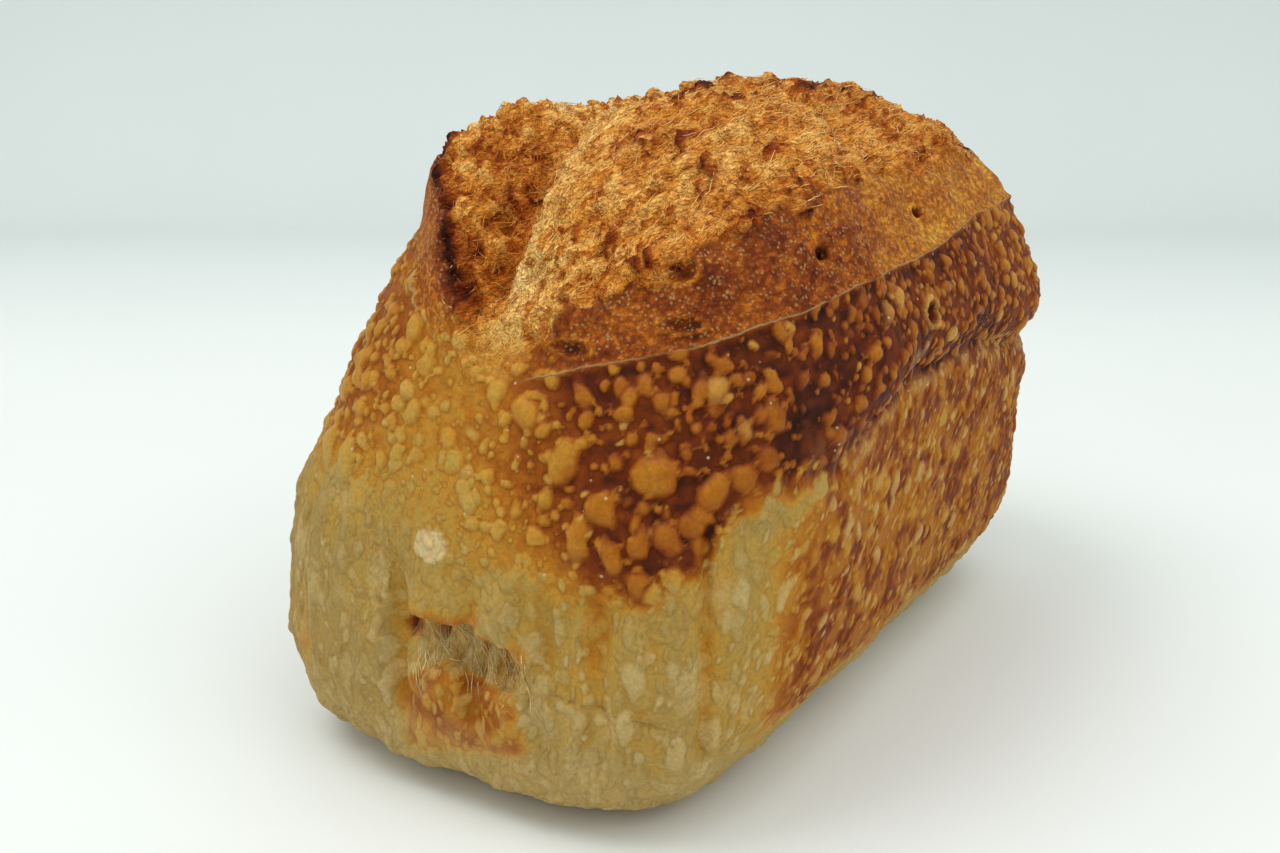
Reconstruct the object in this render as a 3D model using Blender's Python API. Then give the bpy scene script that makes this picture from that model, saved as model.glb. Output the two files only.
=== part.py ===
"""Sourdough loaf baked in a tin, one solid, in metres, +Z up.

The front end faces -Y and the long right side faces +X.  The origin is on the floor, under the
middle of the loaf.  Every length below is in millimetres and is turned into metres at the end.
"""
import bpy
import numpy as np

MM = 0.001
NODE = "loaf"
CRUST_COLOR = (0.42, 0.19, 0.06, 1.0)
CRUST_ROUGHNESS = 0.55

# Grid of the solid: cells across the width, along the length, and rows up the sides
CELLS_ACROSS = 28
CELLS_ALONG = 46
ROWS_UP = 28
OUTLINE_SAMPLES = 8001
CROWN_SAMPLES = 401

# Level sections of the plain loaf, from the foot to the top.  Each row is the height, the reach
# to the right, left, front and back, and the squareness of the outline (2 is an ellipse)
SECTIONS = (
    (0.0, 33.5, 45.0, 84.0, 82.0, 3.1),
    (10.0, 47.5, 57.0, 97.5, 95.0, 3.3),
    (28.0, 58.0, 63.0, 101.0, 99.5, 3.3),
    (56.0, 61.5, 62.0, 100.0, 101.0, 3.1),
    (84.0, 63.0, 53.0, 94.0, 102.0, 2.8),
    (107.0, 58.5, 43.0, 85.0, 97.0, 2.6),
    (121.0, 50.0, 32.5, 75.0, 84.0, 2.5),
    (132.0, 37.0, 26.0, 58.0, 65.0, 2.4),
    (139.0, 19.0, 14.0, 31.0, 36.0, 2.4),
    (140.5, 0.0, 0.0, 0.0, 0.0, 2.4),
)
WIDEST_SECTION = 3
END_ROUNDNESS = (0.75, 1.10)
ROUND_END_HEIGHT = 84.0

# Turn about the loaf's middle that a straight side takes, from its middle to where the end starts
SIDE_ANGLE = 0.6
CORNER_ANGLE = (SIDE_ANGLE + np.pi / 2.0) / 2.0

# Steps over which the form's slope is measured, and the length under which it has no direction
SMALL_TURN = 1e-3
SMALL_CLIMB = 0.05
NO_LENGTH = 1e-6
UP = np.array([0.0, 0.0, 1.0])

# The side rows reach up to this height, and the crown's grid fills the rest
CROWN_HEIGHT = 119.0

# Dough that spilled over the tin's rim: a crease with a bulge above it, from the right side's
# front round the back.  Each pair is a place along the loaf and the crease's height there
CREASE_LINE = ((-72.0, 66.0), (-62.0, 69.5), (-52.0, 72.5), (-43.0, 76.5), (-30.0, 80.5),
               (-7.0, 83.0), (20.0, 82.0), (52.0, 76.0), (90.0, 74.0))
BULGE = 3.5
BULGE_HEIGHT = 34.0
BULGE_FULL_HEIGHT = 10.0
BULGE_FRONT = -72.0
BULGE_FADE = 40.0
BULGE_AT_FRONT = 0.7
CREASE_DEPTH = 1.6
CREASE_WIDTH = 4.0
SPILL_FADE = 30.0
SPILL_ROUND_BACK = 0.4

# The cut along the top.  Plan places (across, along) of the ear's crest and of the bottom of
# the valley beside it, from front to back.  Then pairs of a place along the loaf and the ear's
# height above the plain loaf there, or the valley's depth below it
EAR_CREST = ((5.0, -93.0), (-2.0, -91.0), (-8.0, -86.0), (-16.0, -76.0), (-25.0, -63.0),
             (-30.0, -45.0), (-30.0, 0.0), (-24.0, 45.0), (-8.0, 84.0))
VALLEY = ((6.5, -93.0), (4.0, -90.0), (3.0, -84.0), (1.0, -75.0), (-2.0, -60.0),
          (-7.0, -38.0), (-14.0, 0.0), (-12.0, 45.0), (0.0, 84.0))
EAR_HEIGHTS = ((-93.0, 0.0), (-89.0, 1.5), (-80.0, 4.0), (-62.0, 6.5), (-42.0, 8.0),
               (-15.0, 4.5), (20.0, 3.5), (84.0, 0.0))
EAR_RAGGEDNESS = 0.25
EAR_SLOPE = 6.5
VALLEY_DEPTHS = ((-93.0, 4.0), (-60.0, 4.5), (-20.0, 7.0), (84.0, 7.0))
VALLEY_RISE = 17.0
CUT_FRONT = -93.5
CUT_BACK = 84.0
CUT_FADE = 9.0
CUT_LOWEST = (70.0, 90.0)
RAGGED_PLANE = (0.3, 1.0, 0.0)
RAGGED_SIZE = 5.5
RAGGED_SEED = 5

# Torn crumb between the ear and the right edge of the cut: ragged ridges along the loaf
RIGHT_EDGE = ((13.0, -92.0), (36.0, -85.0), (52.0, -69.0), (59.0, -32.0),
              (58.0, 30.0), (44.0, 72.0), (8.0, 92.0))
CRAG_HEIGHT = 1.8
CRAG_SIZE = 11.0
CRAG_STRETCH = 1.8
CRAG_FADE_FROM_EAR = 8.0
CRAG_FADE_TO_EDGE = 14.0
CRAG_LOWEST = (88.0, 104.0)
CRAG_SEED = 11

# Gentle unevenness all over, level with the floor at the foot
LUMP_HEIGHT = 0.9
LUMP_SIZE = 17.0
LUMP_SEED = 3
LEVEL_FOOT = 14.0
NOISE_CELLS = 32

# Front end: upright folds left by the baking paper, and the tear with its lip
FOLDS = (-14.0, 5.0, 21.0, 33.0)
FOLD_DEPTH = 1.2
FOLD_WIDTH = 3.5
FOLD_SPAN = (12.0, 60.0)
FOLD_FADE = 14.0
FRONT_FACE = (-72.0, -90.0)
TEAR_LEFT = -13.0
TEAR_RIGHT = 19.0
TEAR_FADE = 8.0
TEAR_HEIGHT = 37.0
TEAR_GAPE = 5.0
TEAR_DEPTH = 3.5
LIP_HEIGHT = 46.0
LIP = 1.8


def smooth_step(low, high, value):
    """0 below low, 1 above high, with a smooth rise between them."""
    t = np.clip((value - low) / (high - low), 0.0, 1.0)
    return t * t * (3.0 - 2.0 * t)


def end_slope(near_step, far_step, near_slope, far_slope):
    """Slope at the end of a smooth curve, kept from swinging past its points."""
    slope = ((2.0 * near_step + far_step) * near_slope - near_step * far_slope)
    slope = slope / (near_step + far_step)
    if slope * near_slope <= 0.0:
        return 0.0
    return np.sign(slope) * min(abs(slope), 3.0 * abs(near_slope))


def smooth_curve(places, values, at):
    """A curve through the given points that never swings past them."""
    places = np.asarray(places, float)
    values = np.asarray(values, float)
    steps = np.diff(places)
    slopes = np.diff(values) / steps
    tangents = np.zeros(len(places))
    tangents[0] = end_slope(steps[0], steps[1], slopes[0], slopes[1])
    tangents[-1] = end_slope(steps[-1], steps[-2], slopes[-1], slopes[-2])
    for i in range(1, len(places) - 1):
        if slopes[i - 1] * slopes[i] > 0.0:
            near = 2.0 * steps[i] + steps[i - 1]
            far = steps[i] + 2.0 * steps[i - 1]
            tangents[i] = (near + far) / (near / slopes[i - 1] + far / slopes[i])
    i = np.clip(np.searchsorted(places, at, side="right") - 1, 0, len(steps) - 1)
    t = np.clip((at - places[i]) / steps[i], 0.0, 1.0)
    return (values[i] * (1.0 + 2.0 * t) * (1.0 - t) ** 2
            + values[i + 1] * (3.0 - 2.0 * t) * t ** 2
            + steps[i] * tangents[i] * t * (1.0 - t) ** 2
            - steps[i] * tangents[i + 1] * t ** 2 * (1.0 - t))


def plan_curve(points, along):
    """Place across at a place along, on a curve through plan points."""
    across, lengthwise = np.asarray(points).T
    return smooth_curve(lengthwise, across, along)


def noise(points, cell, seed):
    """Smooth noise between -1 and 1 with lumps of about one cell."""
    lattice = np.random.default_rng(seed).uniform(-1.0, 1.0, (NOISE_CELLS,) * 3)
    place = points / cell
    corner = np.floor(place).astype(int)
    t = place - corner
    t = t * t * (3.0 - 2.0 * t)
    total = 0.0
    for i in (0, 1):
        for j in (0, 1):
            for k in (0, 1):
                cell_at = (corner + (i, j, k)) % NOISE_CELLS
                pick = lattice[cell_at[..., 0], cell_at[..., 1], cell_at[..., 2]]
                share = (np.abs(1 - i - t[..., 0]) * np.abs(1 - j - t[..., 1])
                         * np.abs(1 - k - t[..., 2]))
                total = total + pick * share
    return total


def section_levels():
    """Level of each section: the length of the loaf's upright line up to it, foot to top."""
    rows = np.asarray(SECTIONS)
    reach = rows[:, 1:5].mean(axis=1)
    steps = np.hypot(np.diff(reach), np.diff(rows[:, 0]))
    return np.concatenate([[0.0], np.cumsum(steps)])


LEVELS = section_levels()
TOP_LEVEL = LEVELS[-1]


def section_value(column, level):
    """One column of the sections, read at a level."""
    return smooth_curve(LEVELS, np.asarray(SECTIONS)[:, column], level)


def outline(angle, right, left, front, back, squareness, end_roundness):
    """Plan point of straight sides joined by boxy oval ends, as round as the width allows."""
    cosine, sine = np.cos(angle), np.sin(angle)
    climb = np.arcsin(np.minimum(np.abs(sine), 1.0))
    along_side = np.clip(climb / SIDE_ANGLE, 0.0, 1.0)
    turn = np.clip((climb - SIDE_ANGLE) / (np.pi / 2.0 - SIDE_ANGLE), 0.0, 1.0) * np.pi / 2.0
    half = np.where(cosine > 0.0, right, -left)
    across = half * np.abs(np.cos(turn)) ** (2.0 / squareness)
    end = end_roundness * (right + left) / 2.0
    straight = np.where(sine < 0.0, front, back) - end
    along = straight * along_side + end * np.sin(turn) ** (2.0 / squareness)
    return across, np.where(sine < 0.0, -along, along)


def base_form(angle, level):
    """Plain form of the loaf, without folds, spill or cut."""
    height, right, left, front, back, squareness = [section_value(i, level) for i in range(6)]
    roundness = np.interp(height, (0.0, ROUND_END_HEIGHT), END_ROUNDNESS)
    across, along = outline(angle, right, left, front, back, squareness, roundness)
    return np.stack([across, along, height], axis=-1)


def outward(angle, level):
    """Unit direction out of the plain form."""
    around = base_form(angle + SMALL_TURN, level) - base_form(angle - SMALL_TURN, level)
    upward = base_form(angle, level + SMALL_CLIMB) - base_form(angle, level - SMALL_CLIMB)
    normal = np.cross(around, upward)
    length = np.linalg.norm(normal, axis=-1, keepdims=True)
    return np.where(length > NO_LENGTH, normal / np.maximum(length, NO_LENGTH), UP)


def overflow(points):
    """Height out of the side of the dough that spilled over the rim, with its crease below."""
    across, along, height = points[..., 0], points[..., 1], points[..., 2]
    above = height - smooth_curve(*np.transpose(CREASE_LINE), along)
    reach = smooth_step(BULGE_FRONT, BULGE_FRONT + BULGE_FADE, along)
    strength = BULGE_AT_FRONT + (1.0 - BULGE_AT_FRONT) * smooth_step(0.0, -BULGE_FRONT, along)
    bulge = smooth_step(0.0, BULGE_FULL_HEIGHT, above)
    bulge = bulge * smooth_step(BULGE_HEIGHT, BULGE_FULL_HEIGHT, above)
    crease = np.exp(-(above / CREASE_WIDTH) ** 2)
    outer = np.abs(across) + SPILL_ROUND_BACK * np.maximum(along, 0.0)
    side = smooth_step(-SPILL_FADE, SPILL_FADE, outer)
    return strength * reach * side * (BULGE * bulge - CREASE_DEPTH * crease)


def line_offset(line, points):
    """Distance to the right of a plan line, square to it."""
    along = points[..., 1]
    place = plan_curve(line, along)
    ahead = plan_curve(line, along + 1.0)
    return (points[..., 0] - place) / np.hypot(1.0, ahead - place)


def cut_relief(points):
    """Rise of the ear and fall of the valley beside it."""
    along = points[..., 1]
    from_crest = line_offset(EAR_CREST, points)
    from_valley = line_offset(VALLEY, points)
    strength = (smooth_step(CUT_FRONT, CUT_FRONT + CUT_FADE, along)
                * smooth_step(CUT_BACK, CUT_BACK - CUT_FADE, along))
    ragged = 1.0 + EAR_RAGGEDNESS * noise(points * RAGGED_PLANE, RAGGED_SIZE, RAGGED_SEED)
    ear = smooth_curve(*np.transpose(EAR_HEIGHTS), along) * ragged
    valley = smooth_curve(*np.transpose(VALLEY_DEPTHS), along) * strength
    outer = smooth_step(-EAR_SLOPE, 0.0, from_crest)
    drop = smooth_step(0.0, 1.0, from_crest / np.maximum(from_crest - from_valley, 1.0))
    rise = smooth_step(0.0, VALLEY_RISE, from_valley)
    profile = ear * outer * (1.0 - drop) - valley * drop * (1.0 - rise)
    return profile * smooth_step(*CUT_LOWEST, points[..., 2])


def crags(points):
    """Ragged ridges of the torn crumb."""
    inside = (smooth_step(0.0, CRAG_FADE_FROM_EAR, line_offset(EAR_CREST, points))
              * smooth_step(0.0, CRAG_FADE_TO_EDGE, -line_offset(RIGHT_EDGE, points))
              * smooth_step(*CRAG_LOWEST, points[..., 2]))
    ridges = 1.0 - 2.0 * np.abs(noise(points / (1.0, CRAG_STRETCH, 1.0), CRAG_SIZE, CRAG_SEED))
    return CRAG_HEIGHT * inside * ridges


def window(low, high, fade, value):
    """1 between low and high, 0 outside them, with smooth ends inside."""
    return smooth_step(low, low + fade, value) * smooth_step(high, high - fade, value)


def front_relief(points):
    """Upright folds and the tear on the front end, as height out of it."""
    across, along, height = points[..., 0], points[..., 1], points[..., 2]
    folds = sum(np.exp(-((across - place) / FOLD_WIDTH) ** 2) for place in FOLDS)
    upright = window(*FOLD_SPAN, FOLD_FADE, height)
    wide = window(TEAR_LEFT, TEAR_RIGHT, TEAR_FADE, across)
    pocket = wide * np.exp(-((height - TEAR_HEIGHT) / TEAR_GAPE) ** 4)
    lip = wide * np.exp(-((height - LIP_HEIGHT) / TEAR_GAPE) ** 2)
    relief = LIP * lip - TEAR_DEPTH * pocket - FOLD_DEPTH * folds * upright * (1.0 - pocket)
    return relief * smooth_step(*FRONT_FACE, along)


def loaf_form(angle, level):
    """Point of the finished surface."""
    points = base_form(angle, level)
    normals = outward(angle, level)
    lumps = LUMP_HEIGHT * noise(points, LUMP_SIZE, LUMP_SEED)
    out = overflow(points) + crags(points) + front_relief(points) + lumps
    upward = normals + UP
    upward = upward / np.linalg.norm(upward, axis=-1, keepdims=True)
    shift = out[..., None] * normals + cut_relief(points)[..., None] * upward
    shift[..., 2] *= smooth_step(0.0, LEVEL_FOOT, points[..., 2])
    return points + shift


def equal_cells(start, end, cells, places, lengths):
    """Angles that cut the outline between two angles into cells of equal length."""
    first, last = np.interp((start, end), places, lengths)
    return np.interp(np.linspace(first, last, cells + 1), lengths, places)


def side_angles():
    """Angles of the columns, from the front right corner round by the back to where they began."""
    corners = (-CORNER_ANGLE, CORNER_ANGLE, np.pi - CORNER_ANGLE, np.pi + CORNER_ANGLE,
               2.0 * np.pi - CORNER_ANGLE)
    places = np.linspace(corners[0], corners[-1], OUTLINE_SAMPLES)
    widest = base_form(places, np.full_like(places, LEVELS[WIDEST_SECTION]))
    steps = np.hypot(*np.diff(widest[:, :2], axis=0).T)
    lengths = np.concatenate([[0.0], np.cumsum(steps)])
    counts = (CELLS_ALONG, CELLS_ACROSS, CELLS_ALONG, CELLS_ACROSS)
    runs = [equal_cells(corners[i], corners[i + 1], counts[i], places, lengths)[:-1]
            for i in range(4)]
    return np.concatenate(runs)


def side_levels():
    """Levels of the rows up the side, by equal lengths, up to where the crown begins."""
    top = np.interp(CROWN_HEIGHT, np.asarray(SECTIONS)[:, 0], LEVELS)
    return np.linspace(0.0, top, ROWS_UP + 1)


def crown_level(share, top):
    """Level at which the plain form has shrunk to a share of its size where the crown begins."""
    levels = np.linspace(top, TOP_LEVEL, CROWN_SAMPLES)
    reach = sum(section_value(i, levels) for i in range(1, 5))
    return np.interp(share, (reach / reach[0])[::-1], levels[::-1])


def rim_columns():
    """Column of the sides that each rim point (across, along) of a cap's grid joins."""
    ring = {}
    for n in range(2 * (CELLS_ALONG + CELLS_ACROSS)):
        if n < CELLS_ALONG:
            ring[n] = (CELLS_ACROSS, n)
        elif n < CELLS_ALONG + CELLS_ACROSS:
            ring[n] = (CELLS_ACROSS - (n - CELLS_ALONG), CELLS_ALONG)
        elif n < 2 * CELLS_ALONG + CELLS_ACROSS:
            ring[n] = (0, CELLS_ALONG - (n - CELLS_ALONG - CELLS_ACROSS))
        else:
            ring[n] = (n - 2 * CELLS_ALONG - CELLS_ACROSS, 0)
    return {place: n for n, place in ring.items()}


def ring_angle(across, along, angles):
    """Angle on the outline for a point on the rim of the unit square."""
    closed = np.append(angles, angles[0] + 2.0 * np.pi)
    if across >= abs(along):
        step = (along / across + 1.0) / 2.0 * CELLS_ALONG
    elif along >= abs(across):
        step = CELLS_ALONG + (1.0 - across / along) / 2.0 * CELLS_ACROSS
    elif -across >= abs(along):
        step = CELLS_ALONG + CELLS_ACROSS + (1.0 + along / across) / 2.0 * CELLS_ALONG
    else:
        step = 2 * CELLS_ALONG + CELLS_ACROSS + (1.0 - across / along) / 2.0 * CELLS_ACROSS
    return np.interp(step, np.arange(len(closed)), closed)


def build_loaf():
    """Vertices and faces of the closed loaf: a box grid drawn over the form."""
    angles = side_angles()
    levels = side_levels()
    columns = len(angles)
    grid_levels, grid_angles = np.meshgrid(levels, angles, indexing="ij")
    vertices = [loaf_form(grid_angles, grid_levels).reshape(-1, 3)]
    faces = []
    for row in range(ROWS_UP):
        for column in range(columns):
            following = (column + 1) % columns
            low, high = row * columns, (row + 1) * columns
            faces.append((low + column, low + following, high + following, high + column))
    joins = rim_columns()
    count = len(vertices[0])
    for ring_start, top in ((0, False), (ROWS_UP * columns, True)):
        index = {}
        cap_angles, shares = [], []
        for i in range(CELLS_ACROSS + 1):
            for j in range(CELLS_ALONG + 1):
                if (i, j) in joins:
                    index[i, j] = ring_start + joins[i, j]
                    continue
                across = 2.0 * i / CELLS_ACROSS - 1.0
                along = 2.0 * j / CELLS_ALONG - 1.0
                share = max(abs(across), abs(along))
                middle = share == 0.0
                cap_angles.append(0.0 if middle else ring_angle(across, along, angles))
                shares.append(share)
                index[i, j] = count
                count += 1
        cap_angles, shares = np.array(cap_angles), np.array(shares)
        if top:
            vertices.append(loaf_form(cap_angles, crown_level(shares, levels[-1])))
        else:
            rim = loaf_form(cap_angles, np.zeros_like(cap_angles))
            vertices.append(rim * shares[:, None])
        for i in range(CELLS_ACROSS):
            for j in range(CELLS_ALONG):
                face = (index[i, j], index[i + 1, j], index[i + 1, j + 1], index[i, j + 1])
                faces.append(face if top else face[::-1])
    return centred(np.concatenate(vertices)), faces


def centred(vertices):
    """The same points, with the origin under the middle of their box."""
    middle = (vertices.min(axis=0) + vertices.max(axis=0)) / 2.0
    return vertices - (middle[0], middle[1], 0.0)


def add_object(name, vertices, faces, color, roughness):
    """One named object with its own material."""
    mesh = bpy.data.meshes.new(name)
    mesh.from_pydata([tuple(point) for point in vertices * MM], [], faces)
    mesh.update()
    mesh.shade_smooth()
    material = bpy.data.materials.new(name)
    material.use_nodes = True
    shader = material.node_tree.nodes["Principled BSDF"]
    shader.inputs["Base Color"].default_value = color
    shader.inputs["Roughness"].default_value = roughness
    mesh.materials.append(material)
    thing = bpy.data.objects.new(name, mesh)
    bpy.context.scene.collection.objects.link(thing)
    return thing


def main():
    for thing in list(bpy.data.objects):
        bpy.data.objects.remove(thing, do_unlink=True)
    vertices, faces = build_loaf()
    add_object(NODE, vertices, faces, CRUST_COLOR, CRUST_ROUGHNESS)


main()
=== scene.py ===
import itertools
import math

import bpy
import numpy as np
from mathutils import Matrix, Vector
from mathutils.bvhtree import BVHTree


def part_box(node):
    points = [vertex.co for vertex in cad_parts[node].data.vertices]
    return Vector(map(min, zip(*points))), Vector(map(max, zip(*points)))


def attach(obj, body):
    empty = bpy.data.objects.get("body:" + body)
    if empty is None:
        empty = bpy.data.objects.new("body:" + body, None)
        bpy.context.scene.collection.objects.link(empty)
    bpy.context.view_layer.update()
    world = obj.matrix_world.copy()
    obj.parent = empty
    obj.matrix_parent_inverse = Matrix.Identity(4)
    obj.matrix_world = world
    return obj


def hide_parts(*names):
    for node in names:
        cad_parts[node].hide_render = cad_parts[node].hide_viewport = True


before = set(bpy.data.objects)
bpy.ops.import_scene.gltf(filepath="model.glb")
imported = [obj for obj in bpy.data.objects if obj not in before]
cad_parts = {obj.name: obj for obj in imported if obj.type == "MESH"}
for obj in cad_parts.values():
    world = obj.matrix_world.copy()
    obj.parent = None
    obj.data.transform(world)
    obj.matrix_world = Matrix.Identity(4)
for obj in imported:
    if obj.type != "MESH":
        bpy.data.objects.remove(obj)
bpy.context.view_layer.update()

# A sourdough loaf baked in a tin.  Lengths are in millimetres, in the frame that the loaf's form
# was drawn in, and become metres in the part's own frame when a mesh is fitted to the CAD box.
# The front end faces -Y, the long right side +X.
MM = 0.001
NODE = "loaf"

# Fine grid of the loaf: cells across the width, along the length, and rows up the sides
CELLS_ACROSS = 176
CELLS_ALONG = 288
ROWS_UP = 226
OUTLINE_SAMPLES = 8001
CROWN_SAMPLES = 401

# The plain form, the spill, the cut, the crags and the front relief, as in the CAD source
SECTIONS = (
    (0.0, 33.5, 45.0, 84.0, 82.0, 3.1),
    (10.0, 47.5, 57.0, 97.5, 95.0, 3.3),
    (28.0, 58.0, 63.0, 101.0, 99.5, 3.3),
    (56.0, 61.5, 62.0, 100.0, 101.0, 3.1),
    (84.0, 63.0, 53.0, 94.0, 102.0, 2.8),
    (107.0, 58.5, 43.0, 85.0, 97.0, 2.6),
    (121.0, 50.0, 32.5, 75.0, 84.0, 2.5),
    (132.0, 37.0, 26.0, 58.0, 65.0, 2.4),
    (139.0, 19.0, 14.0, 31.0, 36.0, 2.4),
    (140.5, 0.0, 0.0, 0.0, 0.0, 2.4),
)
WIDEST_SECTION = 3
END_ROUNDNESS = (0.75, 1.10)
ROUND_END_HEIGHT = 84.0
SIDE_ANGLE = 0.6
CORNER_ANGLE = (SIDE_ANGLE + np.pi / 2.0) / 2.0
SMALL_TURN = 1e-3
SMALL_CLIMB = 0.05
NO_LENGTH = 1e-6
UP = np.array([0.0, 0.0, 1.0])
CROWN_HEIGHT = 119.0
CREASE_LINE = ((-72.0, 66.0), (-62.0, 69.5), (-52.0, 72.5), (-43.0, 76.5), (-30.0, 80.5),
               (-7.0, 83.0), (20.0, 82.0), (52.0, 76.0), (90.0, 74.0))
BULGE = 3.5
BULGE_HEIGHT = 34.0
BULGE_FULL_HEIGHT = 10.0
BULGE_FRONT = -72.0
BULGE_FADE = 40.0
BULGE_AT_FRONT = 0.7
CREASE_DEPTH = 1.6
CREASE_WIDTH = 4.0
SPILL_FADE = 30.0
SPILL_ROUND_BACK = 0.4
EAR_CREST = ((5.0, -93.0), (-2.0, -91.0), (-8.0, -86.0), (-16.0, -76.0), (-25.0, -63.0),
             (-30.0, -45.0), (-30.0, 0.0), (-24.0, 45.0), (-8.0, 84.0))
VALLEY = ((6.5, -93.0), (4.0, -90.0), (3.0, -84.0), (1.0, -75.0), (-2.0, -60.0),
          (-7.0, -38.0), (-14.0, 0.0), (-12.0, 45.0), (0.0, 84.0))
EAR_HEIGHTS = ((-93.0, 0.0), (-89.0, 1.5), (-80.0, 4.0), (-62.0, 6.5), (-42.0, 8.0),
               (-15.0, 4.5), (20.0, 3.5), (84.0, 0.0))
EAR_RAGGEDNESS = 0.25
EAR_SLOPE = 6.5
VALLEY_DEPTHS = ((-93.0, 4.0), (-60.0, 4.5), (-20.0, 7.0), (84.0, 7.0))
VALLEY_RISE = 17.0
CUT_FRONT = -93.5
CUT_BACK = 84.0
CUT_FADE = 9.0
CUT_LOWEST = (70.0, 90.0)
RAGGED_PLANE = (0.3, 1.0, 0.0)
RAGGED_SIZE = 5.5
RAGGED_SEED = 5
RIGHT_EDGE = ((13.0, -92.0), (36.0, -85.0), (52.0, -69.0), (59.0, -32.0),
              (58.0, 30.0), (44.0, 72.0), (8.0, 92.0))
CRAG_HEIGHT = 1.8
CRAG_SIZE = 11.0
CRAG_STRETCH = 1.8
CRAG_FADE_FROM_EAR = 8.0
CRAG_FADE_TO_EDGE = 14.0
CRAG_LOWEST = (88.0, 104.0)
CRAG_SEED = 11
LUMP_HEIGHT = 0.9
LUMP_SIZE = 17.0
LUMP_SEED = 3
LEVEL_FOOT = 14.0
NOISE_CELLS = 32
FOLDS = (-14.0, 5.0, 21.0, 33.0)
FOLD_DEPTH = 1.2
FOLD_WIDTH = 3.5
FOLD_SPAN = (12.0, 60.0)
FOLD_FADE = 14.0
FRONT_FACE = (-72.0, -90.0)
TEAR_LEFT = -13.0
TEAR_RIGHT = 19.0
TEAR_FADE = 8.0
TEAR_HEIGHT = 37.0
TEAR_GAPE = 5.0
TEAR_DEPTH = 3.5
LIP_HEIGHT = 46.0
LIP = 1.8

# Lines on the crust, as pairs of a turn about the loaf's middle in degrees (-90 is the front,
# 0 the right side) and a height.  The seam is the thin pale line where the blade cut, the torn
# edge is where the smooth band above it ends and torn crumb begins
SEAM = ((-95.0, 90.0), (-85.0, 91.8), (-75.0, 95.5), (-61.0, 100.4), (-44.0, 105.3),
        (-28.0, 107.2), (-2.0, 107.8), (34.0, 111.3), (60.0, 111.0), (75.0, 106.0), (95.0, 96.0))
TORN_EDGE = ((-95.0, 90.5), (-84.0, 92.0), (-82.5, 96.0), (-80.5, 102.0), (-76.0, 106.0),
             (-67.0, 110.0), (-63.0, 114.0), (-58.0, 118.0), (-50.0, 121.0), (-44.0, 123.0),
             (-31.0, 124.5), (0.0, 123.5), (45.0, 122.0), (70.0, 114.0), (88.0, 101.0),
             (95.0, 97.0))

# Where the pale foot of the ends gives way to baked crust, how fast, and how dark it gets
PALE_LINE = ((-180.0, 58.0), (-130.0, 62.0), (-113.0, 62.0), (-105.0, 62.0), (-99.0, 60.0),
             (-93.0, 50.0), (-87.0, 48.0), (-82.0, 52.0), (-75.0, 53.0), (-71.0, 50.0),
             (-66.0, 50.0), (-61.0, 53.0), (-58.0, 62.0), (-54.0, 70.0), (0.0, 72.0),
             (90.0, 62.0), (180.0, 58.0))
BAKE_RISE = ((-180.0, 22.0), (-110.0, 24.0), (-90.0, 34.0), (-80.0, 22.0), (-72.0, 12.0),
             (-66.0, 8.0), (-50.0, 6.0), (0.0, 8.0), (90.0, 20.0), (180.0, 22.0))
BAKE_TOP = ((-180.0, 0.56), (-120.0, 0.56), (-104.0, 0.46), (-94.0, 0.27), (-88.0, 0.30),
            (-80.0, 0.50), (-72.0, 0.68), (-60.0, 0.74), (-45.0, 0.76), (-20.0, 0.72),
            (10.0, 0.70), (40.0, 0.64), (90.0, 0.60), (180.0, 0.56))

# Crust colours by how far they are baked, in the photo's own scale of 0 to 255
BAKED_COLORS = (
    (0.00, (160, 133, 74)),
    (0.15, (171, 137, 62)),
    (0.30, (181, 129, 42)),
    (0.45, (167, 102, 22)),
    (0.60, (144, 74, 10)),
    (0.75, (111, 45, 5)),
    (0.88, (66, 24, 4)),
    (1.00, (28, 10, 4)),
)
TORN_COLORS = (
    (0.00, (236, 202, 134)),
    (0.15, (230, 176, 90)),
    (0.30, (214, 142, 54)),
    (0.45, (186, 104, 28)),
    (0.60, (150, 70, 14)),
    (0.75, (108, 42, 8)),
    (0.88, (62, 24, 6)),
    (1.00, (28, 12, 5)),
)
CRUMB_COLOR = (244, 202, 124)
FLOUR_COLOR = (204, 183, 132)


def smooth_step(low, high, value):
    """0 below low, 1 above high, with a smooth rise between them."""
    t = np.clip((value - low) / (high - low), 0.0, 1.0)
    return t * t * (3.0 - 2.0 * t)


def end_slope(near_step, far_step, near_slope, far_slope):
    """Slope at the end of a smooth curve, kept from swinging past its points."""
    slope = ((2.0 * near_step + far_step) * near_slope - near_step * far_slope)
    slope = slope / (near_step + far_step)
    if slope * near_slope <= 0.0:
        return 0.0
    return np.sign(slope) * min(abs(slope), 3.0 * abs(near_slope))


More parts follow.
